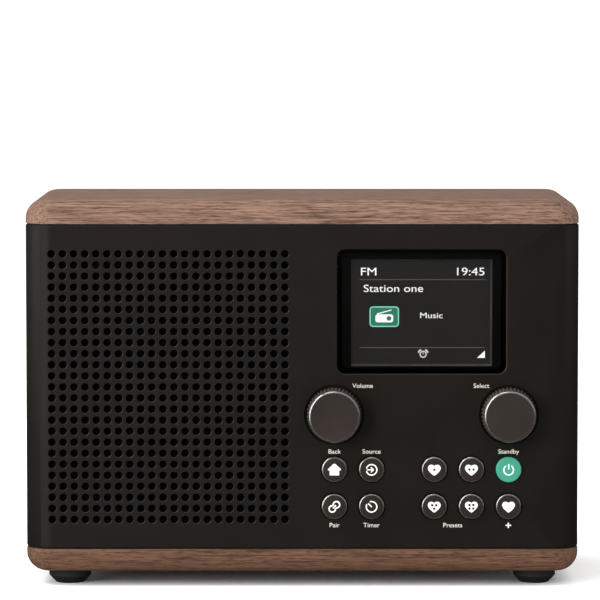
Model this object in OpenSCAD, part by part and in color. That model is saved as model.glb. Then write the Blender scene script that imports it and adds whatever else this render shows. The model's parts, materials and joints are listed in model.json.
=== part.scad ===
// Tabletop radio: a black cabinet sleeve between two wood panels, with a perforated speaker
// baffle, a colour display, two push-and-turn knobs, ten buttons and a telescopic aerial.
// Millimetres. X to the right seen from the front, Y towards the back, Z up.
// The origin is the centre of the footprint, on the surface that the feet stand on.

/* [Cabinet] */
// Width of the cabinet
cabinet_w = 200; // [200:1:204]
// Depth of the cabinet, without the knobs and the aerial
cabinet_d = 100; // [100:1:104]
// Height of the black sleeve, from seam to seam
body_h = 117; // [117:1:119]
// Thickness of each wood panel
panel_t = 9; // [8:0.5:10]
// Radius of the upright corners, seen from above
corner_r = 10; // [9:0.5:11]
// Rounding of the top panel's upper edge and of the base panel's lower edge
edge_r = 7; // [5:0.5:7]
// Wall of the sleeve
wall = 2.5; // [2.5:0.1:2.8]
// Shadow gap between the sleeve and each wood panel
seam = 0.5; // [0.4:0.1:0.6]

/* [Feet] */
// Height of the feet
foot_h = 5; // [4.5:0.5:6]
// Diameter of a foot
foot_d = 15.3; // [14:0.1:16]
// Distance from the cabinet's side to a foot's centre
foot_inset = 15.4; // [14:0.1:17]

/* [Speaker] */
// Distance from the cabinet's centre to the centre of the baffle's holes
speaker_x = 48.2; // [47.8:0.1:48.2]
// Diameter of a hole in the baffle
hole_d = 2.8; // [2:0.1:3]
// Distance between neighbouring holes
hole_pitch = 4; // [3.9:0.1:4]
// Holes in a row
hole_columns = 22; // [18:1:22]
// Rows of holes
hole_rows = 25; // [20:1:25]
// Side of the driver's square flange
driver_size = 78; // [76:1:78]

/* [Controls] */
// Distance from the cabinet's centre to the centre of the controls and display
control_x = 43; // [43:0.5:44]
// Distance between neighbouring buttons
button_pitch = 13.4; // [13:0.1:13.5]
// Diameter of a button
button_d = 9.2; // [8.5:0.1:9.4]
// Travel of a button
button_travel = 0.8; // [0.4:0.1:0.9]
// Diameter of a knob at its base
knob_d = 19.9; // [19:0.1:20.5]
// Distance from the front of the cabinet to a knob's face
knob_out = 9; // [8:0.1:9]
// Number of flutes round a knob
knob_flutes = 44; // [32:2:48]
// Travel of a pressed knob
knob_travel = 0.5; // [0.3:0.1:0.6]

/* [Display] */
// Width of the display window
window_w = 61; // [58:0.5:61]
// Height of the display window
window_h = 45; // [43:0.5:45]
// Corner radius of the display window
window_r = 3; // [2:0.5:4]

/* [Aerial] */
// Outer diameter of the first tube
aerial_d = 6; // [6:0.1:6.2]
// Length of the first tube
aerial_l = 141; // [140:1:148]

/* [Hidden] */
$fn = 48;
over = 0.1;        // how far a cutter runs past the face that it opens
fit = 0.05;        // clearance round a shaft or a screw
gap = 0.3;         // clearance between neighbouring loose parts

// Heights
seam_low = foot_h + panel_t;
seam_high = seam_low + body_h;
sleeve_z = seam_low + seam / 2;
sleeve_h = body_h - seam;
mid_z = (seam_low + seam_high) / 2;

// Depths
front_y = -cabinet_d / 2;
back_y = cabinet_d / 2;
inner_y = front_y + wall;
rear_wall = 4;
cover_t = 2;
lip_y = back_y - rear_wall;
cover_y = back_y - cover_t;
cover_w = cabinet_w - 24;
cover_h = body_h - 4;
cover_r = 6;
lip = 9;

// Screws of the case: M3, and of the boards: M2.6
case_screw_d = 3;
board_screw_d = 2.6;
corner_screw_x = cabinet_w / 2 - 9.5;
corner_screw_y = cabinet_d / 2 - 12;
block = [16, 17, 5];
cover_screw_z = body_h / 2 - 6;
cover_screw_x = cover_w / 2 - 6;
cover_screws = [for (x = [-cover_screw_x, 0, cover_screw_x], s = [-1, 1])
    [x, mid_z + s * cover_screw_z]];
foot_x = cabinet_w / 2 - foot_inset;
foot_y = cabinet_d / 2 - foot_inset;

// Speaker
driver_x = -speaker_x;
driver_screw = 31.5;
flange_y = inner_y + 6;
cloth_y = inner_y + 0.15;
cloth_t = 0.4;
coil_r = 10;
flange_hole_r = 34;
roll_r = 2.2;
roll_t = 0.5;
cone_r = 30;
spider_z = 16;
plate_z = 20;
plate_t = 4;
magnet_t = 10;

// Controls
row_low_z = sleeve_z + 15.05;
row_high_z = row_low_z + button_pitch;
knob_z = row_high_z + 19.8;
knob_dx = 31.5;
button_dx = 31.4;
well_d = knob_d + 1.5;
well_t = knob_travel + 0.7;
button_out = 1.4;
flange_t = 1;
board_y = inner_y + 11.5;
board_t = 1.6;
board_size = [90, 54];
board_z = mid_z - 26;
board_screw_at = [41, 23.5];
mat_t = 1.2;
dome_h = button_travel + 2;
encoder_h = 6.5;
encoder_y = board_y - encoder_h;
shaft_d = 6;
bushing_d = 7;

// Display: a 2.4 inch panel behind a clear window
window_z = mid_z + 27.2;
window_t = 1.4;
ledge_t = 0.8;
panel_size = [60.3, 42.7, 2.4];
bracket_screw_at = [34, 15];
bracket_t = 2;

// Main board and its sockets
main_x = [4, 90];
main_y = [-28, 44];
main_z = 26;
socket_z = main_z + board_t;
standoff_at = [for (x = [10, 84], y = [-22, 24]) [x, y]];
dc_x = 20;
audio_x = [40, 56];
usb_x = 74;
audio_r = 1.8;
nose_y = back_y - 0.6;
nose_z = socket_z + 5.5;

// Battery bay
bay_x = -40;
bay_z = 57;
bay_size = [70, 42];
bay_depth = 23;
door_t = 1.6;
door_size = [74, 46];

// Aerial
aerial_x = -74;
aerial_z = mid_z + 42.5;
aerial_y = back_y + knob_out - aerial_d / 2;
tube_wall = 0.4;
tube_step = 1;
tube_stagger = 2;
tongue_t = 3.8;
tongue_r = 2.4;
ear_t = 1.8;

// Button places: column, row, counted from the left and from the bottom
button_columns = [-button_dx, -button_dx + button_pitch, button_dx - 2 * button_pitch,
                  button_dx - button_pitch, button_dx];
button_names = [
    ["button_back", 0, 1], ["button_source", 1, 1], ["button_pair", 0, 0], ["button_timer", 1, 0],
    ["button_preset_1", 2, 1], ["button_preset_2", 3, 1], ["button_preset_3", 2, 0],
    ["button_preset_4", 3, 0], ["button_standby", 4, 1], ["button_favourite", 4, 0]
];
function button_x(entry) = control_x + button_columns[entry[1]];
function button_z(entry) = row_low_z + entry[2] * button_pitch;

// ---- Shared shapes ----

module rounded_rect(w, h, r) {
    square([w - 2 * r, h], center = true);
    square([w, h - 2 * r], center = true);
    for (x = [-1, 1], y = [-1, 1])
        translate([x * (w / 2 - r), y * (h / 2 - r)]) circle(r);
}

// A plate that stands upright, drawn in X and Z, from y to y + t
module upright(y, t)
    translate([0, y + t, 0]) rotate([90, 0, 0]) linear_extrude(t) children();

// Turns a shape drawn along +Z so that it runs towards the back from a point
module backwards(x, y, z)
    translate([x, y, z]) rotate([-90, 0, 0]) children();

module backwards_pin(x, y, z, d, length)
    backwards(x, y, z) cylinder(d = d, h = length);

// A pan-head screw along +Z, its head below z = 0
module screw(d, length) {
    head_h = 0.6 * d;
    slot = 0.3 * d;
    cylinder(d = d, h = length);
    difference() {
        translate([0, 0, -head_h]) cylinder(d1 = 1.6 * d, d2 = 1.9 * d, h = head_h);
        for (a = [0, 90])
            rotate([0, 0, a]) translate([-0.55 * d, -slot / 2, -head_h - over])
                cube([1.1 * d, slot, head_h / 2 + over]);
    }
}

// A wood panel from z = 0 upwards, its upper edge rounded
module wood_panel() {
    h = panel_t - seam / 2;
    flat_h = h - edge_r;
    linear_extrude(flat_h) rounded_rect(cabinet_w, cabinet_d, corner_r);
    translate([0, 0, flat_h]) hull()
        for (x = [-1, 1], y = [-1, 1])
            translate([x * (cabinet_w / 2 - corner_r), y * (cabinet_d / 2 - corner_r), 0])
                rotate_extrude($fn = 64) {
                    square([corner_r - edge_r, edge_r]);
                    intersection() {
                        translate([corner_r - edge_r, 0]) circle(edge_r, $fn = 64);
                        square(corner_r);
                    }
                }
}

// The route of a lead, rounded between its points, and the tube that follows it
function spline_point(a, b, c, d, t) =
    0.5 * (2 * b + (c - a) * t + (2 * a - 5 * b + 4 * c - d) * t * t
           + (3 * b - a - 3 * c + d) * t * t * t);
function smooth_route(p, steps = 4) = [
    for (i = [0:len(p) - 2], s = [0:steps - 1])
        spline_point(p[max(i - 1, 0)], p[i], p[i + 1], p[min(i + 2, len(p) - 1)], s / steps),
    p[len(p) - 1]
];
function unit(v) = v / norm(v);
function tube_ring(p, along, r, sides) =
    let (u = unit(cross(along, [0.2, 0.3, 0.9])), w = cross(unit(along), u))
    [for (i = [0:sides - 1]) p + r * (cos(360 * i / sides) * u + sin(360 * i / sides) * w)];

module tube(route, d, sides = 8) {
    p = smooth_route(route);
    n = len(p);
    points = [for (i = [0:n - 1])
        each tube_ring(p[i], p[min(i + 1, n - 1)] - p[max(i - 1, 0)], d / 2, sides)];
    walls = [for (i = [0:n - 2], k = [0:sides - 1])
        let (a = i * sides + k, b = i * sides + (k + 1) % sides)
        each [[a, b, b + sides], [a, b + sides, a + sides]]];
    first = [for (k = [0:sides - 1]) sides - 1 - k];
    last = [for (k = [0:sides - 1]) (n - 1) * sides + k];
    polyhedron(points, concat([first], walls, [last]), convexity = 6);
}

// ---- Cabinet ----

module top_panel()
    color("#9b7562") difference() {
        translate([0, 0, seam_high + seam / 2]) wood_panel();
        for (x = [-1, 1], y = [-1, 1])
            translate([x * corner_screw_x, y * corner_screw_y, seam_high])
                cylinder(d = case_screw_d + 2 * fit, h = 5.5);
    }

module base_panel()
    color("#86604c") difference() {
        translate([0, 0, seam_low - seam / 2]) mirror([0, 0, 1]) wood_panel();
        for (x = [-1, 1], y = [-1, 1]) {
            translate([x * corner_screw_x, y * corner_screw_y, seam_low - 5.5])
                cylinder(d = case_screw_d + 2 * fit, h = 5.5);
            translate([x * foot_x, y * foot_y, foot_h - over])
                cylinder(d = case_screw_d + 2 * fit, h = 6.6);
        }
        for (at = standoff_at)
            translate([at.x, at.y, seam_low - 5.5])
                cylinder(d = board_screw_d + 2 * fit, h = 5.5);
    }

module seam_trims()
    color("#0c0b0a")
        for (z = [seam_low, seam_high])
            translate([0, 0, z - seam / 2]) linear_extrude(seam) difference() {
                rounded_rect(cabinet_w - 2, cabinet_d - 2, corner_r - 1);
                rounded_rect(cabinet_w - 7, cabinet_d - 7, corner_r - 3.5);
            }

module grille_holes()
    for (i = [0:hole_columns - 1], k = [0:hole_rows - 1])
        translate([driver_x + (i - (hole_columns - 1) / 2) * hole_pitch,
                   mid_z + (k - (hole_rows - 1) / 2) * hole_pitch])
            circle(d = hole_d, $fn = 24);

module control_holes() {
    for (s = [-1, 1])
        translate([control_x + s * knob_dx, knob_z]) circle(d = bushing_d + 2 * gap);
    for (b = button_names)
        translate([button_x(b), button_z(b)]) circle(d = button_d + 2 * gap);
    translate([control_x, window_z])
        rounded_rect(window_w - 4, window_h - 4, window_r - 1);
}

// Posts behind the baffle that take the driver's, display's and control board's screws
module post(x, z, d, hole_d, to_y)
    difference() {
        backwards_pin(x, inner_y - over, z, d, to_y - inner_y + over);
        backwards_pin(x, inner_y + 1, z, hole_d, to_y - inner_y);
    }

module sleeve_posts() {
    for (x = [-1, 1], z = [-1, 1]) {
        post(driver_x + x * driver_screw, mid_z + z * driver_screw, 7,
             board_screw_d + 2 * fit, flange_y);
        post(control_x + x * board_screw_at.x, board_z + z * board_screw_at.y, 6,
             board_screw_d + 2 * fit, board_y);
        post(control_x + x * bracket_screw_at.x, window_z + z * bracket_screw_at.y, 5.5,
             board_screw_d + 2 * fit, inner_y + panel_size.z + 0.2);
    }
}

// Blocks in the sleeve's corners, screwed to the wood panels
module corner_blocks()
    for (z = [sleeve_z, sleeve_z + sleeve_h - block.z])
        translate([0, 0, z]) difference() {
            intersection() {
                linear_extrude(block.z) translate([0, -wall / 4])
                    rounded_rect(cabinet_w - wall, cabinet_d - 1.5 * wall, corner_r - wall / 2);
                for (x = [-1, 1], y = [-1, 1])
                    translate([x * (cabinet_w - block.x) / 2, y * (cabinet_d - block.y) / 2,
                               block.z / 2])
                        cube(block, center = true);
            }
            for (x = [-1, 1], y = [-1, 1])
                translate([x * corner_screw_x, y * corner_screw_y, -over])
                    cylinder(d = case_screw_d + 2 * fit, h = block.z + 2 * over);
        }

module sleeve_walls()
    difference() {
        translate([0, 0, sleeve_z]) linear_extrude(sleeve_h) difference() {
            rounded_rect(cabinet_w, cabinet_d, corner_r);
            translate([0, (wall - rear_wall) / 2])
                rounded_rect(cabinet_w - 2 * wall, cabinet_d - wall - rear_wall, corner_r - wall);
        }
        upright(front_y - over, wall + 2 * over) {
            grille_holes();
            control_holes();
        }
        for (s = [-1, 1])
            backwards_pin(control_x + s * knob_dx, front_y - over, knob_z, well_d, well_t + over);
        upright(front_y - over, wall - ledge_t + over)
            translate([control_x, window_z]) rounded_rect(window_w, window_h, window_r);
        upright(cover_y, cover_t + over)
            translate([0, mid_z]) rounded_rect(cover_w, cover_h, cover_r);
        upright(lip_y - over, rear_wall)
            translate([0, mid_z]) rounded_rect(cover_w - 2 * lip, cover_h - 2 * lip, 2);
        for (at = cover_screws)
            backwards_pin(at.x, lip_y - over, at[1], case_screw_d + 2 * fit, rear_wall);
    }

module cabinet_sleeve()
    color("#24211e") {
        sleeve_walls();
        sleeve_posts();
        corner_blocks();
        for (at = cover_screws) difference() {
            backwards_pin(at.x, lip_y - 6, at[1], 6, 6 + over);
            backwards_pin(at.x, lip_y - 6 - over, at[1], case_screw_d + 2 * fit, 7);
        }
    }

module rear_cover()
    color("#1d1b19") difference() {
        union() {
            upright(cover_y, cover_t)
                translate([0, mid_z]) rounded_rect(cover_w - gap, cover_h - gap, cover_r);
            upright(back_y - door_t - bay_depth - cover_t, bay_depth + cover_t)
                translate([bay_x, bay_z]) rounded_rect(bay_size.x + 6, bay_size.y + 6, 3);
            // The rest under the folded aerial
            translate([60, back_y - over, aerial_z - aerial_d / 2 - gap - 2.4])
                cube([5, 7 + over, 2.4]);
        }
        upright(back_y - door_t - bay_depth, bay_depth + door_t + over)
            translate([bay_x, bay_z]) rounded_rect(bay_size.x, bay_size.y, 2);
        upright(back_y - door_t, door_t + over)
            translate([bay_x, bay_z]) rounded_rect(door_size.x, door_size.y, 3);
        for (at = cover_screws) {
            backwards_pin(at.x, cover_y - over, at[1], case_screw_d + 2 * fit, cover_t + 2 * over);
            backwards_pin(at.x, back_y - 1, at[1], 2 * case_screw_d, 1 + over);
        }
        backwards_pin(aerial_x, cover_y - over, aerial_z, shaft_d + 2 * gap, cover_t + 2 * over);
        backwards_pin(dc_x, cover_y - over, nose_z, 9 + 2 * gap, cover_t + 2 * over);
        for (x = audio_x)
            backwards_pin(x, cover_y - over, nose_z, 8 + 2 * gap, cover_t + 2 * over);
        upright(cover_y - over, cover_t + 2 * over)
            translate([usb_x, socket_z + 1.7]) rounded_rect(10, 4.4, 2);
    }

module battery_door()
    color("#211f1d") {
        difference() {
            upright(back_y - door_t, door_t)
                translate([bay_x, bay_z]) rounded_rect(door_size.x - gap, door_size.y - gap, 3);
            // Finger scoop over the latch
            translate([bay_x, back_y + 5.2, bay_z + door_size.y / 2 - 8]) sphere(r = 6);
        }
        for (x = [-22, 22])
            translate([bay_x + x - 4, back_y - door_t - 2, bay_z - bay_size.y / 2 + gap])
                cube([8, 2 + over, 1.5]);
        translate([bay_x - 6, back_y - door_t - 2, bay_z + bay_size.y / 2 - 1.5 - gap])
            cube([12, 2 + over, 1.5]);
    }

module feet()
    color("#151413")
        for (x = [-1, 1], y = [-1, 1]) translate([x * foot_x, y * foot_y, 0]) difference() {
            union() {
                cylinder(d1 = foot_d - 4.2, d2 = foot_d - 0.6, h = foot_h / 2);
                translate([0, 0, foot_h / 2]) cylinder(d = foot_d, h = foot_h / 2);
            }
            translate([0, 0, -over]) cylinder(d = case_screw_d + 2 * fit, h = foot_h + 2 * over);
            translate([0, 0, -over]) cylinder(d = 2.2 * case_screw_d, h = foot_h - 2 + over);
        }

module case_screws()
    color("#3a3a3c") {
        for (at = cover_screws) backwards(at.x, back_y - 1, at[1])
            rotate([180, 0, 0]) screw_flat(case_screw_d, 7);
        for (x = [-1, 1], y = [-1, 1]) {
            translate([x * foot_x, y * foot_y, foot_h - 2]) screw(case_screw_d, 8);
            translate([x * corner_screw_x, y * corner_screw_y, sleeve_z + block.z])
                rotate([180, 0, 0]) screw(case_screw_d, block.z + 4);
            translate([x * corner_screw_x, y * corner_screw_y, sleeve_z + sleeve_h - block.z])
                screw(case_screw_d, block.z + 4);
        }
    }

// A screw whose head is low enough to sit under the cover's face
module screw_flat(d, length) {
    cylinder(d = d, h = length);
    difference() {
        translate([0, 0, -0.9]) cylinder(d1 = 1.7 * d, d2 = 1.9 * d, h = 0.9);
        for (a = [0, 90])
            rotate([0, 0, a]) translate([-0.55 * d, -0.15 * d, -1])
                cube([1.1 * d, 0.3 * d, 0.6]);
    }
}

module board_screws()
    color("#8d8d90") {
        for (x = [-1, 1], z = [-1, 1]) {
            backwards(driver_x + x * driver_screw, flange_y + 1.2, mid_z + z * driver_screw)
                rotate([180, 0, 0]) screw(board_screw_d, 5.5);
            backwards(control_x + x * board_screw_at.x, board_y + board_t,
                      board_z + z * board_screw_at.y)
                rotate([180, 0, 0]) screw(board_screw_d, 8);
            backwards(control_x + x * bracket_screw_at.x, inner_y + panel_size.z + 0.2 + bracket_t,
                      window_z + z * bracket_screw_at.y)
                rotate([180, 0, 0]) screw(board_screw_d, 3.4);
        }
        for (at = standoff_at) translate([at.x, at.y, main_z + board_t])
            rotate([180, 0, 0]) screw(board_screw_d, main_z + board_t - seam_low + 4);
    }

// ---- Speaker ----

// A part of the driver, turned round its axis: drawn as radius and depth behind the flange
module turned()
    backwards(driver_x, flange_y, mid_z) rotate_extrude($fn = 64) children();

module grille_cloth()
    color("#060606") upright(cloth_y, cloth_t) difference() {
        translate([driver_x, mid_z]) rounded_rect(86.4, 103, 3);
        for (x = [-1, 1], z = [-1, 1])
            translate([driver_x + x * driver_screw, mid_z + z * driver_screw]) circle(d = 8);
    }

module speaker_gasket()
    color("#1a1a1a") turned() {
        depth = flange_y - cloth_y - cloth_t;
        translate([flange_hole_r + 1.8, -depth]) square([3, depth]);
    }

// The frame's outline: a sloping wall, a ledge for the spider, and a floor for the magnet
module speaker_frame()
    color("#4c4c4f") difference() {
        union() {
            upright(flange_y, 1.2) difference() {
                translate([driver_x, mid_z]) rounded_rect(driver_size, driver_size, 8);
                translate([driver_x, mid_z]) circle(r = flange_hole_r);
                for (x = [-1, 1], z = [-1, 1])
                    translate([driver_x + x * driver_screw, mid_z + z * driver_screw])
                        circle(d = board_screw_d + 4 * fit);
            }
            turned() polygon([[36.5, 1.1], [37.5, 1.1], [24.6, 18.4], [24.6, plate_z], [12, plate_z],
                              [12, 18.8], [23.4, 18.8], [23.4, spider_z], [24.9, spider_z]]);
        }
        for (a = [45:90:315])
            backwards(driver_x, flange_y, mid_z) rotate([0, 0, a]) translate([20, -9, 5])
                cube([20, 18, 9]);
    }

// The half roll round the cone, glued to the front of the frame
module speaker_surround()
    color("#141414") turned() {
        roll_x = flange_hole_r - 0.2 - roll_r;
        difference() {
            translate([roll_x, 0]) circle(r = roll_r);
            translate([roll_x, 0]) circle(r = roll_r - roll_t);
            translate([roll_x - roll_r - over, 0]) square([2 * roll_r + 2 * over, roll_r + over]);
        }
        translate([roll_x + roll_r - roll_t, -roll_t]) square([2, roll_t]);
    }

// The pleated disc that centres the coil; its flat rim lies on the frame's ledge
module speaker_spider() {
    inner_r = coil_r + 0.15;
    rim_r = 24.3;
    pleat = 1.6;
    color("#b59a52") turned()
        polygon([for (i = [0:8]) [inner_r + i * pleat, spider_z - 0.4 + (i % 2) * 1.1],
                 [rim_r, spider_z - 0.4],
                 [rim_r, spider_z],
                 for (i = [8:-1:0]) [inner_r + i * pleat, spider_z + (i % 2) * 1.1]]);
}

module speaker_cone()
    color("#2b2a2c") turned()
        polygon([[cone_r - 1.6, 0], [cone_r, 0], [cone_r, 0.6], [coil_r + 0.8, 14.2],
                 [coil_r + 0.2, 14.2], [coil_r + 0.2, 13.4]]);

module speaker_dust_cap() {
    cap_r = 14.6;
    cap_z = 20.3;
    color("#19191b") turned() difference() {
        intersection() {
            translate([0, cap_z]) circle(r = cap_r, $fn = 96);
            square(12);
        }
        translate([0, cap_z]) circle(r = cap_r - 0.5, $fn = 96);
    }
}

// The former, and the winding on its far end
module voice_coil()
    color("#a5622e") turned() {
        translate([coil_r - 0.15, 11.2]) square([0.3, 14]);
        translate([coil_r + 0.1, 19]) square([0.4, 6]);
    }

module speaker_top_plate()
    color("#77777a") turned() translate([coil_r + 0.9, plate_z]) square([12, plate_t]);

module speaker_magnet()
    color("#232325") turned() translate([coil_r + 3, plate_z + plate_t]) square([13, magnet_t]);

module speaker_yoke()
    color("#77777a") turned() {
        translate([0, plate_z + plate_t + magnet_t]) square([23, plate_t]);
        translate([0, plate_z + 0.5]) square([coil_r - 0.6, plate_t + magnet_t]);
    }

// ---- Display ----

module display_window()
    color([0.03, 0.03, 0.03, 0.6])
        upright(inner_y - ledge_t - window_t, window_t) translate([control_x, window_z])
            rounded_rect(window_w - 0.4, window_h - 0.4, window_r - 0.2);

module display_panel()
    color("#101214") upright(inner_y, panel_size.z) translate([control_x, window_z])
        square([panel_size.x, panel_size.y], center = true);

module display_bracket()
    color("#1c1c1c") upright(inner_y + panel_size.z + 0.2, bracket_t)
        translate([control_x, window_z]) difference() {
            rounded_rect(2 * bracket_screw_at.x + 6, window_h + 2, 3);
            rounded_rect(50, 32, 2);
            for (x = [-1, 1], z = [-1, 1])
                translate([x * bracket_screw_at.x, z * bracket_screw_at.y])
                    circle(d = board_screw_d + 4 * fit);
        }

// ---- Knobs ----

module knob(x)
    backwards(x, front_y - knob_out, knob_z) difference() {
        union() {
            cylinder(d1 = knob_d - 2.7, d2 = knob_d - 1.3, h = 0.7);
            translate([0, 0, 0.7])
                cylinder(d1 = knob_d - 1.3, d2 = knob_d, h = knob_out - 0.2);
        }
        // The hollow behind the face leaves a hub for the shaft
        translate([0, 0, 1.8]) difference() {
            cylinder(d = knob_d - 3.2, h = knob_out);
            translate([0, 0, -over]) cylinder(d = 10, h = knob_out - 1.2);
        }
        translate([0, 0, 1.5]) shaft_section(shaft_d + 2 * fit, knob_out);
        for (a = [0:360 / knob_flutes:359])
            rotate([0, 0, a]) translate([knob_d / 2 - 0.1, 0, 1.4])
                cylinder(r = 0.5, h = knob_out, $fn = 16);
    }

// A round shaft with a flat on one side
module shaft_section(d, length)
    intersection() {
        cylinder(d = d, h = length);
        translate([-d / 2, -d / 2, 0]) cube([0.75 * d, d, length]);
    }

module shaft(x) {
    neck = front_y + 1;
    tip = front_y - knob_out + 1.6;
    backwards(x, tip, knob_z) shaft_section(shaft_d, neck - tip + over);
    backwards_pin(x, neck, knob_z, shaft_d, encoder_y + 0.7 - neck + over);
    backwards_pin(x, encoder_y + 0.7, knob_z, shaft_d + 1.6, 1);
}

module plunger(x)
    backwards_pin(x, encoder_y + 1.75, knob_z, 3, 2.4);

module encoder(x)
    difference() {
        union() {
            translate([x - 6, encoder_y, knob_z - 6]) cube([12, encoder_h, 12]);
            backwards_pin(x, front_y + well_t + 0.2, knob_z, bushing_d,
                          encoder_y - front_y - well_t - 0.1);
        }
        backwards_pin(x, front_y, knob_z, shaft_d + 2 * fit, encoder_y - front_y + 1);
        backwards_pin(x, encoder_y + 0.5, knob_z, 8.4, encoder_h - 1.1);
    }

module volume_knob() color("#3c3431") knob(control_x - knob_dx);
module volume_shaft() color("#9a9a9c") shaft(control_x - knob_dx);
module volume_plunger() color("#d8d4c8") plunger(control_x - knob_dx);
module volume_encoder() color("#8c8c8f") encoder(control_x - knob_dx);
module select_knob() color("#3c3431") knob(control_x + knob_dx);
module select_shaft() color("#9a9a9c") shaft(control_x + knob_dx);
module select_plunger() color("#d8d4c8") plunger(control_x + knob_dx);
module select_encoder() color("#8c8c8f") encoder(control_x + knob_dx);

// ---- Buttons ----

module button(entry) {
    edge = 0.4;
    face_y = front_y - button_out;
    flange_front = inner_y + 0.1;
    backwards(button_x(entry), face_y, button_z(entry)) {
        cylinder(d1 = button_d - 2 * edge, d2 = button_d, h = edge);
        translate([0, 0, edge]) cylinder(d = button_d, h = flange_front - face_y - edge);
        translate([0, 0, flange_front - face_y]) cylinder(d = button_d + 2.4, h = flange_t);
        translate([0, 0, flange_front - face_y + flange_t])
            cylinder(d = 5, h = board_y - mat_t - dome_h - flange_front - flange_t);
    }
}

module key_mat()
    color("#555250") {
        upright(board_y - mat_t, mat_t)
            translate([control_x, (row_low_z + row_high_z) / 2])
                rounded_rect(2 * button_dx + 12, button_pitch + 13, 2);
        for (b = button_names)
            backwards(button_x(b), board_y - mat_t - dome_h, button_z(b))
                cylinder(d1 = 5.5, d2 = 9, h = dome_h);
    }

// ---- Boards and sockets ----

module control_board()
    color("#1e4a31") {
        upright(board_y, board_t) difference() {
            translate([control_x, board_z]) square(board_size, center = true);
            for (x = [-1, 1], z = [-1, 1])
                translate([control_x + x * board_screw_at.x, board_z + z * board_screw_at.y])
                    circle(d = board_screw_d + 4 * fit);
        }
        for (at = [[-20, 4, 9], [8, -6, 7], [26, 6, 5]])
            translate([control_x + at[0], board_y + board_t - over, board_z + at[1]])
                cube([at[2], 1.2, at[2]]);
        // Ribbon sockets
        translate([control_x - 8, board_y + board_t - over, board_z + 17]) cube([16, 2.4, 4]);
        translate([control_x - 8, board_y + board_t - over, board_z - 7]) cube([16, 2.4, 4]);
    }

module main_board()
    color("#1e4a31") {
        translate([main_x[0], main_y[0], main_z]) difference() {
            cube([main_x[1] - main_x[0], main_y[1] - main_y[0], board_t]);
            for (at = standoff_at) translate([at.x - main_x[0], at.y - main_y[0], -over])
                cylinder(d = board_screw_d + 4 * fit, h = board_t + 2 * over);
        }
        for (at = [[14, -8, 10], [14, 10, 8], [70, 12, 6], [56, 18, 5]])
            translate([at[0], at[1], socket_z - over]) cube([at[2], at[2], 1.3]);
        // Ribbon socket at the front, lead headers at the left
        translate([control_x - 8, main_y[0] + 1, socket_z - over]) cube([16, 4, 2.6]);
        for (y = [-6, 6]) translate([main_x[0] + 1, y, socket_z - over]) cube([4, 7, 6]);
    }

module board_standoffs()
    color("#b49a55")
        for (at = standoff_at) translate([at.x, at.y, seam_low - seam / 2]) difference() {
            cylinder(d = 6, h = main_z - seam_low + seam / 2, $fn = 6);
            translate([0, 0, -over])
                cylinder(d = board_screw_d + 2 * fit, h = main_z - seam_low + 1);
        }

module radio_module()
    color("#b9bcc0") translate([30, -18, socket_z]) {
        cube([36, 28, 3.6]);
        translate([2, 2, 3.5]) cube([32, 24, 0.4]);
    }

module capacitors()
    color("#222a38")
        for (y = [-14, -1]) translate([76, y, socket_z]) {
            cylinder(d = 10, h = 16);
            translate([0, 0, 15.9]) cylinder(d = 8.6, h = 0.4);
        }

module dc_socket()
    color("#141414") difference() {
        union() {
            translate([dc_x - 4.5, 30, socket_z]) cube([9, 14, 11]);
            backwards_pin(dc_x, 43.9, nose_z, 9, nose_y - 43.9);
        }
        difference() {
            backwards_pin(dc_x, nose_y - 9.5, nose_z, 5.6, 9.5 + over);
            backwards_pin(dc_x, nose_y - 10, nose_z, 2, 9);
        }
    }

module audio_sockets()
    color("#141414")
        for (x = audio_x) difference() {
            union() {
                translate([x - 5.5, 31, socket_z]) cube([11, 13, 11]);
                backwards_pin(x, 43.9, nose_z, 8, nose_y - 43.9);
            }
            backwards_pin(x, nose_y - 14, nose_z, 2 * audio_r, 14 + over);
        }

module usb_socket()
    color("#a7a9ac") difference() {
        upright(nose_y - 7.5, 7.5) translate([usb_x, socket_z + 1.7]) rounded_rect(9, 3.3, 1.5);
        upright(nose_y - 6.5, 6.5 + over) translate([usb_x, socket_z + 1.7])
            difference() {
                rounded_rect(8.4, 2.7, 1.2);
                square([6.4, 0.7], center = true);
            }
    }

module battery_pack()
    color("#2c4f7d") translate([bay_x, 0, bay_z - 10])
        for (s = [-1, 1]) translate([0, back_y - door_t - 12.5, 10 + s * 9.5])
            rotate([0, 90, 0]) cylinder(d = 18.4, h = 65, center = true);

// ---- Leads and ribbons ----

speaker_lead = [[-46, -20.5, 47], [-41, -20, 40], [-28, -18, 33], [-14, -13, 32], [-2, -8, 36],
                [4.5, -5, 38], [6, -4.2, 33.7]];
aerial_lead = [[-74, 45, 115], [-66, 42, 104], [-50, 39, 92], [-6, 36, 88.5], [5, 31, 76],
               [6, 17, 52], [7, 10, 42], [7, 9.5, 33.8]];

module wire_leads()
    color("#8c2f2a") {
        for (s = [0, 1]) translate([2 * s, 2.4 * s, 0]) tube(speaker_lead, 1.5);
        tube(aerial_lead, 1.5);
    }

module ribbon_cables()
    color("#c9c6bd") {
        low = window_z - panel_size.y / 2;
        back = board_y + board_t;
        // From the display to the control board
        translate([control_x - 6, inner_y + 1, low - 3.2]) cube([12, 0.3, 3.2]);
        translate([control_x - 6, inner_y + 1, low - 3.2]) cube([12, back - inner_y, 0.3]);
        translate([control_x - 6, back + 0.7, board_z + 21]) cube([12, 0.3, low - 3 - board_z - 21]);
        // From the control board to the main board
        translate([control_x - 6, back + 2.3, main_z + 6]) cube([12, 0.3, board_z - 5 - main_z - 6]);
        translate([control_x - 6, back + 2.3, main_z + 6]) cube([12, main_y[0] - back + 0.2, 0.3]);
        translate([control_x - 6, main_y[0] + 2.2, socket_z + 2.5])
            cube([12, 0.3, main_z + 6.3 - socket_z - 2.5]);
    }

// ---- Aerial ----

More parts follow.
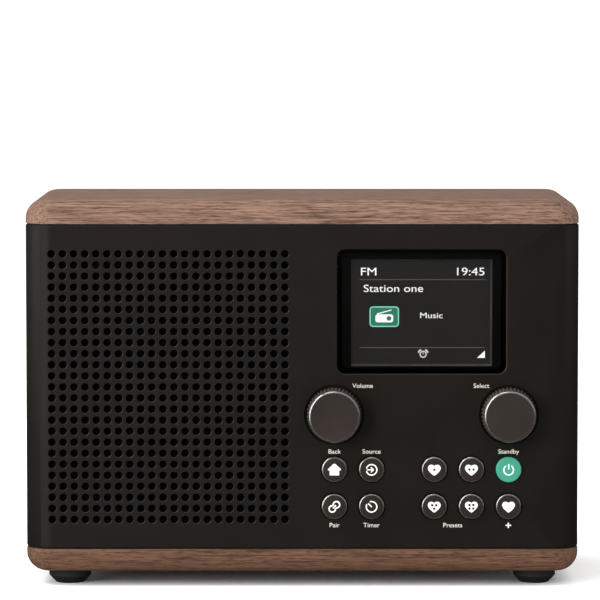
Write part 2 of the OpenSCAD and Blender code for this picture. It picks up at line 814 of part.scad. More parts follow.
module aerial_base()
    color("#26262a") translate([aerial_x, 0, aerial_z]) {
        backwards_pin(0, cover_y - 1.8, 0, 9.5, 1.5);
        backwards_pin(0, cover_y - 1.8, 0, shaft_d, cover_t + 2.4);
        backwards_pin(0, back_y + gap, 0, 14, 2.3);
        for (s = [-1, 1]) translate([0, 0, s * (tongue_t / 2 + 0.2 + ear_t / 2) - ear_t / 2])
            difference() {
                linear_extrude(ear_t) {
                    translate([-aerial_d / 2, back_y + 2]) square([aerial_d, aerial_y - back_y - 2]);
                    translate([0, aerial_y]) circle(d = aerial_d);
                }
                translate([0, aerial_y, -over]) cylinder(d = 2 + 2 * fit, h = ear_t + 2 * over);
            }
    }

module aerial_pin()
    color("#c8c8cc") translate([aerial_x, aerial_y, aerial_z])
        cylinder(d = 2, h = tongue_t + 2 * ear_t + 0.8, center = true);

module tube_along_x(from, length, d, bore)
    translate([aerial_x + from, aerial_y, aerial_z]) rotate([0, 90, 0]) difference() {
        cylinder(d = d, h = length);
        if (bore > 0) translate([0, 0, -over]) cylinder(d = bore, h = length + 2 * over);
    }

module aerial_tube_1()
    color("#d0d0d3") {
        tube_along_x(10.9, aerial_l, aerial_d, aerial_d - 2 * tube_wall);
        tube_along_x(8, 3, aerial_d, 0);
        translate([aerial_x, aerial_y, aerial_z - tongue_t / 2]) difference() {
            linear_extrude(tongue_t) {
                circle(r = tongue_r);
                translate([0, -tongue_r]) square([8.5, 2 * tongue_r]);
            }
            translate([0, 0, -over]) cylinder(d = 2 + 4 * fit, h = tongue_t + 2 * over);
        }
    }

// Tubes 2 to 5, each inside the one before it and standing out a little further
module aerial_tube(k) {
    d = aerial_d - (k - 1) * tube_step;
    from = 11.5 + (k - 1);
    length = 10.9 + aerial_l + (k - 1) * tube_stagger - from;
    tube_along_x(from, length, d, k < 5 ? d - 2 * tube_wall : 0);
    if (k == 5) tube_along_x(from + length - over, 5 + over, 4.6, 0);
}

module aerial_tube_2() color("#d0d0d3") aerial_tube(2);
module aerial_tube_3() color("#d0d0d3") aerial_tube(3);
module aerial_tube_4() color("#d0d0d3") aerial_tube(4);
module aerial_tube_5() color("#d0d0d3") aerial_tube(5);

// ---- Nodes ----

top_panel();
base_panel();
seam_trims();
cabinet_sleeve();
rear_cover();
battery_door();
feet();
case_screws();
board_screws();
grille_cloth();
speaker_gasket();
speaker_frame();
speaker_surround();
speaker_spider();
speaker_cone();
speaker_dust_cap();
voice_coil();
speaker_top_plate();
speaker_magnet();
speaker_yoke();
display_window();
display_panel();
display_bracket();
volume_knob();
volume_shaft();
volume_plunger();
volume_encoder();
select_knob();
select_shaft();
select_plunger();
select_encoder();
for (b = button_names)
    color(b[0] == "button_standby" ? "#45a98a" : "#3c3634") button(b);
key_mat();
control_board();
main_board();
board_standoffs();
radio_module();
capacitors();
dc_socket();
audio_sockets();
usb_socket();
battery_pack();
ribbon_cables();
wire_leads();
aerial_base();
aerial_pin();
aerial_tube_1();
aerial_tube_2();
aerial_tube_3();
aerial_tube_4();
aerial_tube_5();
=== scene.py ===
"""Looks of the tabletop radio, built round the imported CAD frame. Metres, unless a name ends in _mm."""

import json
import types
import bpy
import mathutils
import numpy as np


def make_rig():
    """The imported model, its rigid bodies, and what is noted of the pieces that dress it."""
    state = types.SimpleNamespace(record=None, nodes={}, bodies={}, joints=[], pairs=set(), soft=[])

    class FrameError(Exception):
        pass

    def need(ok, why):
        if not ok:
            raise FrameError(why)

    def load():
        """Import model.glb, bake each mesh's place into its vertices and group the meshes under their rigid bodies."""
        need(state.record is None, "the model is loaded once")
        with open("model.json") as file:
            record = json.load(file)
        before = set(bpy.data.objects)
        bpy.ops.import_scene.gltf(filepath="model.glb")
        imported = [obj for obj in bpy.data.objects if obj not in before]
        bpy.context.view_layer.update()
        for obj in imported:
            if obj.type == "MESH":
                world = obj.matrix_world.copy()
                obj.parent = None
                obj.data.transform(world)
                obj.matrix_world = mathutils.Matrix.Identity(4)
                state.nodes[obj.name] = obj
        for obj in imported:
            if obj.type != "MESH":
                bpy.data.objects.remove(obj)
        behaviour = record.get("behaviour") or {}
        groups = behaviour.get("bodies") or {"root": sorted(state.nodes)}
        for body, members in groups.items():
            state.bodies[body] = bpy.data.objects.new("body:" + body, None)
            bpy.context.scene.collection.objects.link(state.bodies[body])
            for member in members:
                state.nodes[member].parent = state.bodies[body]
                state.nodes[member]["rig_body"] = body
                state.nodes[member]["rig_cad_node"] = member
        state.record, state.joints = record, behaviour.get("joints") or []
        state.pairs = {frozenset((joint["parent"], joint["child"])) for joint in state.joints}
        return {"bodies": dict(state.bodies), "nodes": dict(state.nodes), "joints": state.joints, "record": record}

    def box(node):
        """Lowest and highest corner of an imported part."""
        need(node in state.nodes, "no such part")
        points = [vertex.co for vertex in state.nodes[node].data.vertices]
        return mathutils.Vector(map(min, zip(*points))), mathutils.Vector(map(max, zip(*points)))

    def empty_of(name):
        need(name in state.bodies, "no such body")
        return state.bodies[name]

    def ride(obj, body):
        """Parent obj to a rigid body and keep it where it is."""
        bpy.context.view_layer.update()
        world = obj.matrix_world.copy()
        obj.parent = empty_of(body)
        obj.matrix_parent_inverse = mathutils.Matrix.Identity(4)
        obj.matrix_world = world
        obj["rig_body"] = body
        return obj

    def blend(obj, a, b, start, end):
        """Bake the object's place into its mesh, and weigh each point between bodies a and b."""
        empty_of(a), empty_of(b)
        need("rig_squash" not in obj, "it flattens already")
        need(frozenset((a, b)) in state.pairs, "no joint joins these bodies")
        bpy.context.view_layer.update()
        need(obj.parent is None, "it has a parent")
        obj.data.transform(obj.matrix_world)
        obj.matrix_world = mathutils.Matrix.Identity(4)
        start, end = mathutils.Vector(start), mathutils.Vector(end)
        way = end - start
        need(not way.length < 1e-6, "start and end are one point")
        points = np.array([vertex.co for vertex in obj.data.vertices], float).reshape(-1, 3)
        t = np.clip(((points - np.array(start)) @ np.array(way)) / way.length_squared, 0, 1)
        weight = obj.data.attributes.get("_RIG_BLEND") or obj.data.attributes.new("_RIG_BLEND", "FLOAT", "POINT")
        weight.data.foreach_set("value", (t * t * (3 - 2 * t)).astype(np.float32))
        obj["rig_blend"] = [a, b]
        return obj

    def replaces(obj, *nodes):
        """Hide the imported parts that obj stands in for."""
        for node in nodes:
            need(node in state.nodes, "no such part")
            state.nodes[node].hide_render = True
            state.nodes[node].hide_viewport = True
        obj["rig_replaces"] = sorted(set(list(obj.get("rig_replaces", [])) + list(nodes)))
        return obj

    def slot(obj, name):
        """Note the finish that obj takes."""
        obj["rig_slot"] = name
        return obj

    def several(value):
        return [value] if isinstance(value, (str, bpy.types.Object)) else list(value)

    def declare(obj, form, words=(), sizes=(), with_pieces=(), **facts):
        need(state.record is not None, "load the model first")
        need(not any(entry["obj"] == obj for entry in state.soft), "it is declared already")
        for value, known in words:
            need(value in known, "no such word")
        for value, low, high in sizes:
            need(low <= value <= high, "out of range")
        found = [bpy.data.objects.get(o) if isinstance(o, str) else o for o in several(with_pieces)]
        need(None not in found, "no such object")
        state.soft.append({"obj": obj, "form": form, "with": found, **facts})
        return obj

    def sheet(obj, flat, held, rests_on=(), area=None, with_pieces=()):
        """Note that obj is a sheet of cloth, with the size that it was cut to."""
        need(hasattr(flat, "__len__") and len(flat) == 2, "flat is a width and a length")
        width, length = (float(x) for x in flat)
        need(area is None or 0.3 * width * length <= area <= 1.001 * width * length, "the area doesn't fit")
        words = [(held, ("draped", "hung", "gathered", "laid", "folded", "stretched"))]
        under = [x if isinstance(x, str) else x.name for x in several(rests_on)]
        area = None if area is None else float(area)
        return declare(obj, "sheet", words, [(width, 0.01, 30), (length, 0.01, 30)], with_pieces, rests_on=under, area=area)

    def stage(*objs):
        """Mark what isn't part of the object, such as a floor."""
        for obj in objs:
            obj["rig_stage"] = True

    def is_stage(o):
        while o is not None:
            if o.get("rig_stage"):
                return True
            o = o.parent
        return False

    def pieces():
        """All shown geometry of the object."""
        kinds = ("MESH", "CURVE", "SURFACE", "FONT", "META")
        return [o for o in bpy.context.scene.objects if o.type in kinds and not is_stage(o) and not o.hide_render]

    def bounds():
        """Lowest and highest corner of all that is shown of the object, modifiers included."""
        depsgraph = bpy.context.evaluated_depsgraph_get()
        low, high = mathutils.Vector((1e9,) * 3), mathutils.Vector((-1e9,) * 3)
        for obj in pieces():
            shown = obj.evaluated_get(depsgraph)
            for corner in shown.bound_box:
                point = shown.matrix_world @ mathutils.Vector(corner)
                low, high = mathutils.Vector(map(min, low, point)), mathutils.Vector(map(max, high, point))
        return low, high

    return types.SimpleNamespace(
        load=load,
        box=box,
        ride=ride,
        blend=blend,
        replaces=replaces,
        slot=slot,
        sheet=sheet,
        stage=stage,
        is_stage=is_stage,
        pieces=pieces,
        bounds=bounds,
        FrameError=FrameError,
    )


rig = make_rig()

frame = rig.load()

import json
import math

import bmesh
import bpy
from mathutils import Vector, geometry

CAD_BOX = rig.bounds()
MM = 0.001
TAU = 2 * math.pi
CDT_SCALE = 1000.0  # triangulates in millimetres, to stay above its tolerance
HALF_TURNED = 0.29  # how far a rounded edge has turned in at 45 degrees, as a share of its radius
NODES = frame["nodes"]

# ---- Places, from the frame ----


def centre_of(node):
    low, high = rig.box(node)
    return (low + high) / 2


def size_of(node):
    low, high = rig.box(node)
    return high - low


SLEEVE_LOW, SLEEVE_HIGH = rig.box("cabinet_sleeve")
FRONT_Y = SLEEVE_LOW.y
BACK_Y = SLEEVE_HIGH.y
HALF_W = SLEEVE_HIGH.x
CORNER_R = 10 * MM
WALL = 2.5 * MM
REAR_WALL = 4 * MM
GRILLE_PITCH = 4 * MM
GRILLE_COLUMNS = 22
GRILLE_ROWS = 25
GRILLE_HOLE_R = 1.4 * MM
BUTTON_HOLE_R = 4.9 * MM
WELL_GAP = 0.75 * MM
WELL_DEPTH = 1.2 * MM
BUSH_R = 3.8 * MM
WINDOW_GAP = 0.4 * MM
WINDOW_DEPTH = 1.7 * MM
RECESS_DEPTH = 2 * MM
MID_Z = (SLEEVE_LOW.z + SLEEVE_HIGH.z) / 2

BUTTONS = {
    "button_back": "house",
    "button_source": "source",
    "button_pair": "link",
    "button_timer": "dial",
    "button_preset_1": "heart_1",
    "button_preset_2": "heart_2",
    "button_preset_3": "heart_3",
    "button_preset_4": "heart_4",
    "button_standby": "power",
    "button_favourite": "heart",
}
KNOBS = ("volume", "select")

# ---- Materials ----


class Look:
    """A material with one Principled shader and short calls for the nodes that feed it."""

    def __init__(self, name, colour, roughness, **sockets):
        self.material = bpy.data.materials.new(name)
        self.material.use_nodes = True
        self.tree = self.material.node_tree
        self.shader = self.tree.nodes["Principled BSDF"]
        self.shader.inputs["Base Color"].default_value = (*colour, 1)
        self.shader.inputs["Roughness"].default_value = roughness
        for socket, value in sockets.items():
            self.shader.inputs[socket.replace("_", " ")].default_value = value
        self.place = self.node("ShaderNodeTexCoord").outputs["Object"]

    def node(self, kind, **settings):
        made = self.tree.nodes.new(kind)
        for name, value in settings.items():
            setattr(made, name, value)
        return made

    def link(self, output, socket):
        self.tree.links.new(output, socket)

    def stretched(self, per_metre, shift=(0, 0, 0)):
        """The place in the object, scaled to that many features a metre along each axis."""
        mapping = self.node("ShaderNodeMapping")
        mapping.inputs["Scale"].default_value = per_metre
        mapping.inputs["Location"].default_value = shift
        self.link(self.place, mapping.inputs["Vector"])
        return mapping.outputs["Vector"]

    def noise(self, per_metre, detail=3, roughness=0.55, shift=(0, 0, 0), distortion=0.0):
        if not hasattr(per_metre, "__len__"):
            per_metre = (per_metre,) * 3
        made = self.node("ShaderNodeTexNoise")
        made.inputs["Scale"].default_value = 1
        made.inputs["Detail"].default_value = detail
        made.inputs["Roughness"].default_value = roughness
        made.inputs["Distortion"].default_value = distortion
        self.link(self.stretched(per_metre, shift), made.inputs["Vector"])
        return made.outputs["Fac"]

    def ramp(self, value, stops):
        made = self.node("ShaderNodeValToRGB")
        elements = made.color_ramp.elements
        while len(elements) < len(stops):
            elements.new(0.5)
        for element, (place, colour) in zip(elements, stops):
            element.position = place
            element.color = (*colour, 1) if hasattr(colour, "__len__") else (colour,) * 3 + (1,)
        self.link(value, made.inputs["Fac"])
        return made.outputs["Color"]

    def mix(self, share, a, b, blend="MIX"):
        made = self.node("ShaderNodeMix", data_type="RGBA", blend_type=blend)
        for socket, value in ((made.inputs["Factor"], share), (made.inputs[6], a), (made.inputs[7], b)):
            if isinstance(value, bpy.types.NodeSocket):
                self.link(value, socket)
            else:
                socket.default_value = value
        return made.outputs[2]

    def math(self, operation, a, b=0.0):
        made = self.node("ShaderNodeMath", operation=operation)
        for socket, value in zip(made.inputs, (a, b)):
            if isinstance(value, bpy.types.NodeSocket):
                self.link(value, socket)
            else:
                socket.default_value = value
        return made.outputs[0]

    def colour(self, output):
        self.link(output, self.shader.inputs["Base Color"])

    def rough(self, value, low, high):
        made = self.node("ShaderNodeMapRange")
        made.inputs["To Min"].default_value = low
        made.inputs["To Max"].default_value = high
        self.link(value, made.inputs["Value"])
        self.link(made.outputs["Result"], self.shader.inputs["Roughness"])

    def bump(self, height, depth_mm, strength=1.0):
        made = self.node("ShaderNodeBump")
        made.inputs["Strength"].default_value = strength
        made.inputs["Distance"].default_value = depth_mm * MM
        self.link(height, made.inputs["Height"])
        self.link(made.outputs["Normal"], self.shader.inputs["Normal"])


def shade(colour, factor):
    return tuple(min(1.0, c * factor) for c in colour)


def grainy(name, colour, roughness, grain_per_metre=2500, depth_mm=0.02, spread=0.12, **sockets):
    """Moulded or coated surface: cloudy colour, uneven gloss and a fine grain."""
    look = Look(name, colour, roughness, **sockets)
    cloud = look.noise(60, detail=2)
    fine = look.noise(grain_per_metre, detail=2)
    look.colour(look.ramp(cloud, [(0.3, shade(colour, 1 - spread)), (0.7, shade(colour, 1 + spread))]))
    look.rough(fine, max(0.02, roughness - 0.08), min(1.0, roughness + 0.08))
    look.bump(fine, depth_mm, 0.6)
    return look.material


def walnut(name, dark, light, shift):
    """Wood with its grain along X: broad bands, streaks, and short dark pores."""
    look = Look(name, light, 0.5, Specular_IOR_Level=0.08)
    bands = look.noise((6, 130, 190), detail=3, shift=shift, distortion=0.4)
    streaks = look.noise((55, 1450, 1600), detail=4, roughness=0.6, shift=shift, distortion=0.2)
    pores = look.noise((230, 2900, 3200), detail=2, roughness=0.5, shift=shift)
    middle = tuple((a + b) / 2 for a, b in zip(dark, light))
    broad = look.ramp(bands, [(0.32, middle), (0.68, light)])
    streaked = look.ramp(streaks, [(0.36, dark), (0.46, middle), (0.59, light)])
    figure = look.noise((4, 40, 55), detail=2, shift=shift, distortion=0.6)
    wood = look.mix(look.ramp(figure, [(0.35, 0.5), (0.62, 0.86)]), broad, streaked)
    pore_shade = look.ramp(pores, [(0.37, 0.42), (0.47, 1.0)])
    look.colour(look.mix(0.9, wood, pore_shade, "MULTIPLY"))
    look.rough(streaks, 0.42, 0.58)
    height = look.math("ADD", look.math("MULTIPLY", streaks, 0.5), pores)
    look.bump(height, 0.045, 0.5)
    return look.material


def woven(name, colour, threads_per_metre):
    look = Look(name, colour, 0.9, Specular_IOR_Level=0.2)
    waves = []
    for direction in ("X", "Z"):
        wave = look.node("ShaderNodeTexWave", wave_type="BANDS", bands_direction=direction)
        wave.inputs["Scale"].default_value = 1
        wave.inputs["Distortion"].default_value = 0.4
        look.link(look.stretched((threads_per_metre,) * 3), wave.inputs["Vector"])
        waves.append(wave.outputs["Fac"])
    weave = look.math("MULTIPLY", *waves)
    look.colour(look.ramp(weave, [(0.1, shade(colour, 0.4)), (0.8, shade(colour, 1.6))]))
    look.bump(weave, 0.12)
    return look.material


def metal(name, colour, roughness, along=(60, 60, 4000), depth_mm=0.006):
    """Metal with fine turning or drawing lines."""
    look = Look(name, colour, roughness, Metallic=1.0)
    lines = look.noise(along, detail=3)
    smudge = look.noise(90, detail=2)
    look.colour(look.ramp(smudge, [(0.3, shade(colour, 0.86)), (0.7, colour)]))
    look.rough(lines, max(0.03, roughness - 0.06), roughness + 0.08)
    look.bump(lines, depth_mm, 0.4)
    return look.material


def circuit_board():
    green = (0.012, 0.075, 0.035)
    look = Look("circuit_board", green, 0.3, Specular_IOR_Level=0.5)
    cells = look.node("ShaderNodeTexVoronoi", distance="MANHATTAN")
    cells.inputs["Scale"].default_value = 1
    look.link(look.stretched((420, 420, 420)), cells.inputs["Vector"])
    tracks = look.math("PINGPONG", look.math("MULTIPLY", cells.outputs["Distance"], 9), 1)
    pads = look.node("ShaderNodeTexVoronoi")
    pads.inputs["Scale"].default_value = 1
    look.link(look.stretched((260, 260, 260)), pads.inputs["Vector"])
    copper_track = look.ramp(tracks, [(0.42, green), (0.5, shade(green, 2.4))])
    pad_mask = look.ramp(pads.outputs["Distance"], [(0.14, 1.0), (0.17, 0.0)])
    look.colour(look.mix(pad_mask, copper_track, (0.55, 0.5, 0.42, 1)))
    look.bump(tracks, 0.03, 0.4)
    return look.material


def lit(name, colour, strength):
    """A patch of the display that gives light, very slightly uneven."""
    look = Look(name, shade(colour, 0.2), 0.5, Emission_Strength=strength, Specular_IOR_Level=0.1)
    cloud = look.noise(120, detail=1)
    look.link(
        look.ramp(cloud, [(0.2, shade(colour, 0.9)), (0.8, colour)]),
        look.shader.inputs["Emission Color"],
    )
    return look.material


def glass_pane():
    """Tinted clear plastic with a coating against reflections, which its low index stands for.
    It lets the lamps' light through to what lies behind it."""
    look = Look("window_glass", (0.88, 0.87, 0.86), 0.03, Transmission_Weight=1.0, IOR=1.18)
    look.rough(look.noise(40, detail=2), 0.01, 0.05)
    path = look.node("ShaderNodeLightPath")
    clear = look.node("ShaderNodeBsdfTransparent")
    clear.inputs["Color"].default_value = (0.85, 0.84, 0.83, 1)
    mixed = look.node("ShaderNodeMixShader")
    look.link(path.outputs["Is Shadow Ray"], mixed.inputs[0])
    look.link(look.shader.outputs[0], mixed.inputs[1])
    look.link(clear.outputs[0], mixed.inputs[2])
    look.link(mixed.outputs[0], look.tree.nodes["Material Output"].inputs["Surface"])
    return look.material


BODY_BLACK = (0.0070, 0.0048, 0.0032)
KNOB_BROWN = (0.0200, 0.0144, 0.0124)
MATERIALS = {
    "walnut_top": walnut("walnut_top", (0.068, 0.037, 0.025), (0.196, 0.115, 0.083), (0.3, 0.2, 0.7)),
    "walnut_base": walnut("walnut_base", (0.034, 0.016, 0.0105), (0.126, 0.064, 0.040), (1.7, 3.1, 0.4)),
    "body_black": grainy("body_black", BODY_BLACK, 0.5, Specular_IOR_Level=0.15),
    # Rounded lips of the front's openings: glossier than the face, and 1.3 times lighter in colour. The lighter colour
    # is a painted highlight on the rims.
    "body_edge": grainy("body_edge", shade(BODY_BLACK, 1.3), 0.34, Specular_IOR_Level=0.4),
    "rear_black": grainy("rear_black", (0.009, 0.0085, 0.008), 0.55, 1600, 0.05, Specular_IOR_Level=0.3),
    "knob_satin": grainy("knob_satin", KNOB_BROWN, 0.5, 3200, 0.012, Specular_IOR_Level=0.15),
    # The knob's fluted skirt: a lighter copy of the knob plastic, a painted highlight that makes the flutes read as
    # lit ticks.
    "knob_skirt": grainy("knob_skirt", (0.075, 0.062, 0.054), 0.34, 3200, 0.004, Specular_IOR_Level=0.8),
    "knob_rim": grainy("knob_rim", (0.36, 0.34, 0.32), 0.28, 3200, 0.004, 0.06, Metallic=0.95),
    "button_satin": grainy("button_satin", shade(KNOB_BROWN, 0.82), 0.42, 2600, 0.03,
                           Specular_IOR_Level=0.22),
    "mint": grainy("mint", (0.029, 0.228, 0.150), 0.36, 3600, 0.008, 0.04, Specular_IOR_Level=0.4),
    "white_print": grainy("white_print", (0.76, 0.73, 0.67), 0.5, 5000, 0.004, 0.04),
    "label_print": grainy("label_print", (0.56, 0.54, 0.49), 0.5, 5000, 0.004, 0.04),
    "pale_print": grainy("pale_print", (0.60, 0.88, 0.78), 0.5, 5000, 0.004, 0.04),
    "rubber": grainy("rubber", (0.010, 0.010, 0.010), 0.72, 1800, 0.04, Specular_IOR_Level=0.3),
    "mask_black": grainy("mask_black", (0.0040, 0.0036, 0.0031), 0.6, 3000, 0.004, Specular_IOR_Level=0.1),
    "bezel_grey": grainy("bezel_grey", (0.020, 0.020, 0.021), 0.35, 3000, 0.006, Specular_IOR_Level=0.5),
    "cloth": woven("cloth", (0.0022, 0.0022, 0.0022), 1900),
    "spider_cloth": woven("spider_cloth", (0.30, 0.21, 0.07), 1500),
    "paper": grainy("paper", (0.02, 0.02, 0.021), 0.85, 900, 0.12),
    "screw_steel": metal("screw_steel", (0.16, 0.16, 0.165), 0.36),
    "bright_steel": metal("bright_steel", (0.56, 0.56, 0.58), 0.28),
    "coated_steel": grainy("coated_steel", (0.03, 0.03, 0.032), 0.45, 1400, 0.03),
    "chrome": metal("chrome", (0.78, 0.78, 0.80), 0.12, (20, 1500, 1500), 0.002),
    "brass": metal("brass", (0.62, 0.45, 0.17), 0.3),
    "copper": metal("copper", (0.64, 0.26, 0.10), 0.3, (60, 5000, 60), 0.03),
    "ferrite": grainy("ferrite", (0.018, 0.018, 0.02), 0.62, 1500, 0.05),
    "white_plastic": grainy("white_plastic", (0.68, 0.66, 0.60), 0.4),
    "silicone": grainy("silicone", (0.13, 0.125, 0.12), 0.65, 1200, 0.03),
    "circuit_board": circuit_board(),
    "capacitor": grainy("capacitor", (0.015, 0.02, 0.05), 0.3, 1500, 0.01),
    "battery_wrap": grainy("battery_wrap", (0.025, 0.09, 0.26), 0.25, 700, 0.03),
    "ribbon": grainy("ribbon", (0.62, 0.59, 0.52), 0.35, 1500, 0.01),
    "lead": grainy("lead", (0.30, 0.02, 0.016), 0.4, 1500, 0.02),
    "window_glass": glass_pane(),
    "screen_dark": lit("screen_dark", (0.0150, 0.0143, 0.0136), 1.0),
    "screen_line": lit("screen_line", (0.12, 0.12, 0.12), 1.0),
    "screen_white": lit("screen_white", (0.90, 0.92, 0.90), 1.15),
    "screen_grey": lit("screen_grey", (0.62, 0.62, 0.62), 1.0),
    "screen_green": lit("screen_green", (0.030, 0.19, 0.125), 1.0),
    "screen_mint": lit("screen_mint", (0.22, 0.66, 0.50), 1.1),
}

# ---- Mesh helpers ----


def second_look(made, look, belongs):
    """Gives another material to the faces of a mesh that pass a test."""
    made.data.materials.append(MATERIALS[look])
    for polygon in made.data.polygons:
        if belongs(polygon):
            polygon.material_index = len(made.data.materials) - 1


def make_piece(name, verts, faces, look, body, nodes=(), slot=None, sharp_deg=35):
    """A mesh object that may stand for CAD nodes. It rides on a body, unless that is None."""
    mesh = bpy.data.meshes.new(name)
    mesh.from_pydata([tuple(v) for v in verts], [], [tuple(f) for f in faces])
    mesh.validate()
    made = bpy.data.objects.new(name, mesh)
    bpy.context.scene.collection.objects.link(made)
    work = bmesh.new()
    work.from_mesh(mesh)
    bmesh.ops.remove_doubles(work, verts=work.verts, dist=1e-7)
    bmesh.ops.recalc_face_normals(work, faces=work.faces)
    work.to_mesh(mesh)
    work.free()
    mesh.shade_smooth()
    mesh.set_sharp_from_angle(angle=math.radians(sharp_deg))
    mesh.materials.append(MATERIALS[look])
    if body:
        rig.ride(made, body)
    if nodes:
        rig.replaces(made, *nodes)
    if slot:
        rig.slot(made, slot)
    return made


def lathe(profile, segments, turn, radius=None):
    """Turns an outline of (radius, height) points about the axis that turn places it on.
    A radius of 0 is a pole. radius(r, height, angle) may vary the radius round the axis."""
    verts, rings = [], []
    for r, h in profile:
        if r < 1e-9:
            rings.append([len(verts)])
            verts.append(turn(0, 0, h))
            continue
        rings.append(list(range(len(verts), len(verts) + segments)))
        for i in range(segments):
            angle = TAU * i / segments
            verts.append(turn(radius(r, h, angle) if radius else r, angle, h))
    faces = []
    for a, b in zip(rings, rings[1:] if len(rings[0]) == 1 else rings[1:] + rings[:1]):
        for i in range(segments):
            k = (i + 1) % segments
            if len(a) == 1 and len(b) == 1:
                continue
            if len(a) == 1:
                faces.append((a[0], b[i], b[k]))
            elif len(b) == 1:
                faces.append((a[i], a[k], b[0]))
            else:
                faces.append((a[i], a[k], b[k], b[i]))
    return verts, faces


def facing_front(centre):
    """Turn for lathe(): height runs from this point towards the back."""
    return lambda r, a, h: (centre.x + r * math.cos(a), centre.y + h, centre.z + r * math.sin(a))


def facing_up(centre):
    return lambda r, a, h: (centre.x + r * math.cos(a), centre.y + r * math.sin(a), centre.z + h)


def facing_right(centre):
    return lambda r, a, h: (centre.x + h, centre.y + r * math.cos(a), centre.z + r * math.sin(a))


def fillet(r_centre, h_centre, radius, start_deg, end_deg, steps=6):
    """Points of an arc in an outline of (radius, height)."""
    angles = (math.radians(start_deg + (end_deg - start_deg) * i / steps) for i in range(steps + 1))
    return [(r_centre + radius * math.cos(a), h_centre + radius * math.sin(a)) for a in angles]


def circle_loop(x, z, r, count):
    return [(x + r * math.cos(TAU * i / count), z + r * math.sin(TAU * i / count)) for i in range(count)]


def rect_loop(x, z, w, h, r, steps=6):
    """A rounded rectangle, anticlockwise, with the same number of points for any radius."""
    points = []
    for k, (sx, sz) in enumerate(((1, 1), (-1, 1), (-1, -1), (1, -1))):
        for i in range(steps + 1):
            angle = math.radians(90 * k + 90 * i / steps)
            points.append((x + sx * (w / 2 - r) + r * math.cos(angle),
                           z + sz * (h / 2 - r) + r * math.sin(angle)))
    return points


def fill_loops(outer, holes):
    """Triangles of a flat region: its points, loop by loop, and the faces as indices."""
    points, edges = [], []
    for loop in [outer] + holes:
        start = len(points)
        points += [Vector(p) for p in loop]
        edges += [(start + i, start + (i + 1) % len(loop)) for i in range(len(loop))]
    made = geometry.delaunay_2d_cdt([p * CDT_SCALE for p in points], edges, [], 1, 1e-6)
    tris, origin = made[2], made[3]
    if not all(origin):
        raise ValueError("the outline crosses itself")
    first, owner = len(outer), []
    for k, loop in enumerate(holes):
        owner += [k] * len(loop)
    faces = []
    for tri in tris:
        old = [origin[v][0] for v in tri]
        held = {owner[v - first] if v >= first else -1 for v in old}
        if len(held) == 1 and -1 not in held and _inside(points, old, holes[held.pop()]):
            continue
        faces.append(old)
    return points, faces


def _inside(points, tri, loop):
    """Whether a triangle whose corners all lie on one hole's loop is inside that loop."""
    x = sum(points[v].x for v in tri) / 3
    z = sum(points[v].y for v in tri) / 3
    inside = False
    for (ax, az), (bx, bz) in zip(loop, loop[1:] + loop[:1]):
        if (az > z) != (bz > z) and x < (bx - ax) * (z - az) / (bz - az) + ax:
            inside = not inside
    return inside


def plate(outer, holes, y_front, thickness):
    """A closed flat plate that faces the front, drawn in X and Z."""
    points, faces = fill_loops(outer, holes)
    count = len(points)
    verts = [(p.x, y_front, p.y) for p in points] + [(p.x, y_front + thickness, p.y) for p in points]
    solid = [tuple(f) for f in faces] + [tuple(v + count for v in reversed(f)) for f in faces]
    start = 0
    for loop in [outer] + holes:
        for i in range(len(loop)):
            a, b = start + i, start + (i + 1) % len(loop)
            solid.append((a, b, b + count, a + count))
        start += len(loop)
    return verts, solid


def stacked(loops, closed=False):
    """Skins between loops of 3-D points, one after another. The ends are capped, or joined if closed."""
    verts = [point for loop in loops for point in loop]
    n = len(loops[0])
    rings = [range(k * n, (k + 1) * n) for k in range(len(loops))]
    faces = [] if closed else [tuple(rings[0]), tuple(rings[-1])]
    for a, b in zip(rings, rings[1:] + rings[:1] if closed else rings[1:]):
        faces += [(a[i], a[(i + 1) % n], b[(i + 1) % n], b[i]) for i in range(n)]
    return verts, faces


def joined(parts):
    """Several (verts, faces) as one."""
    verts, faces = [], []
    for v, f in parts:
        start = len(verts)
        verts += list(v)
        faces += [tuple(i + start for i in face) for face in f]
    return verts, faces


# ---- Cabinet sleeve ----


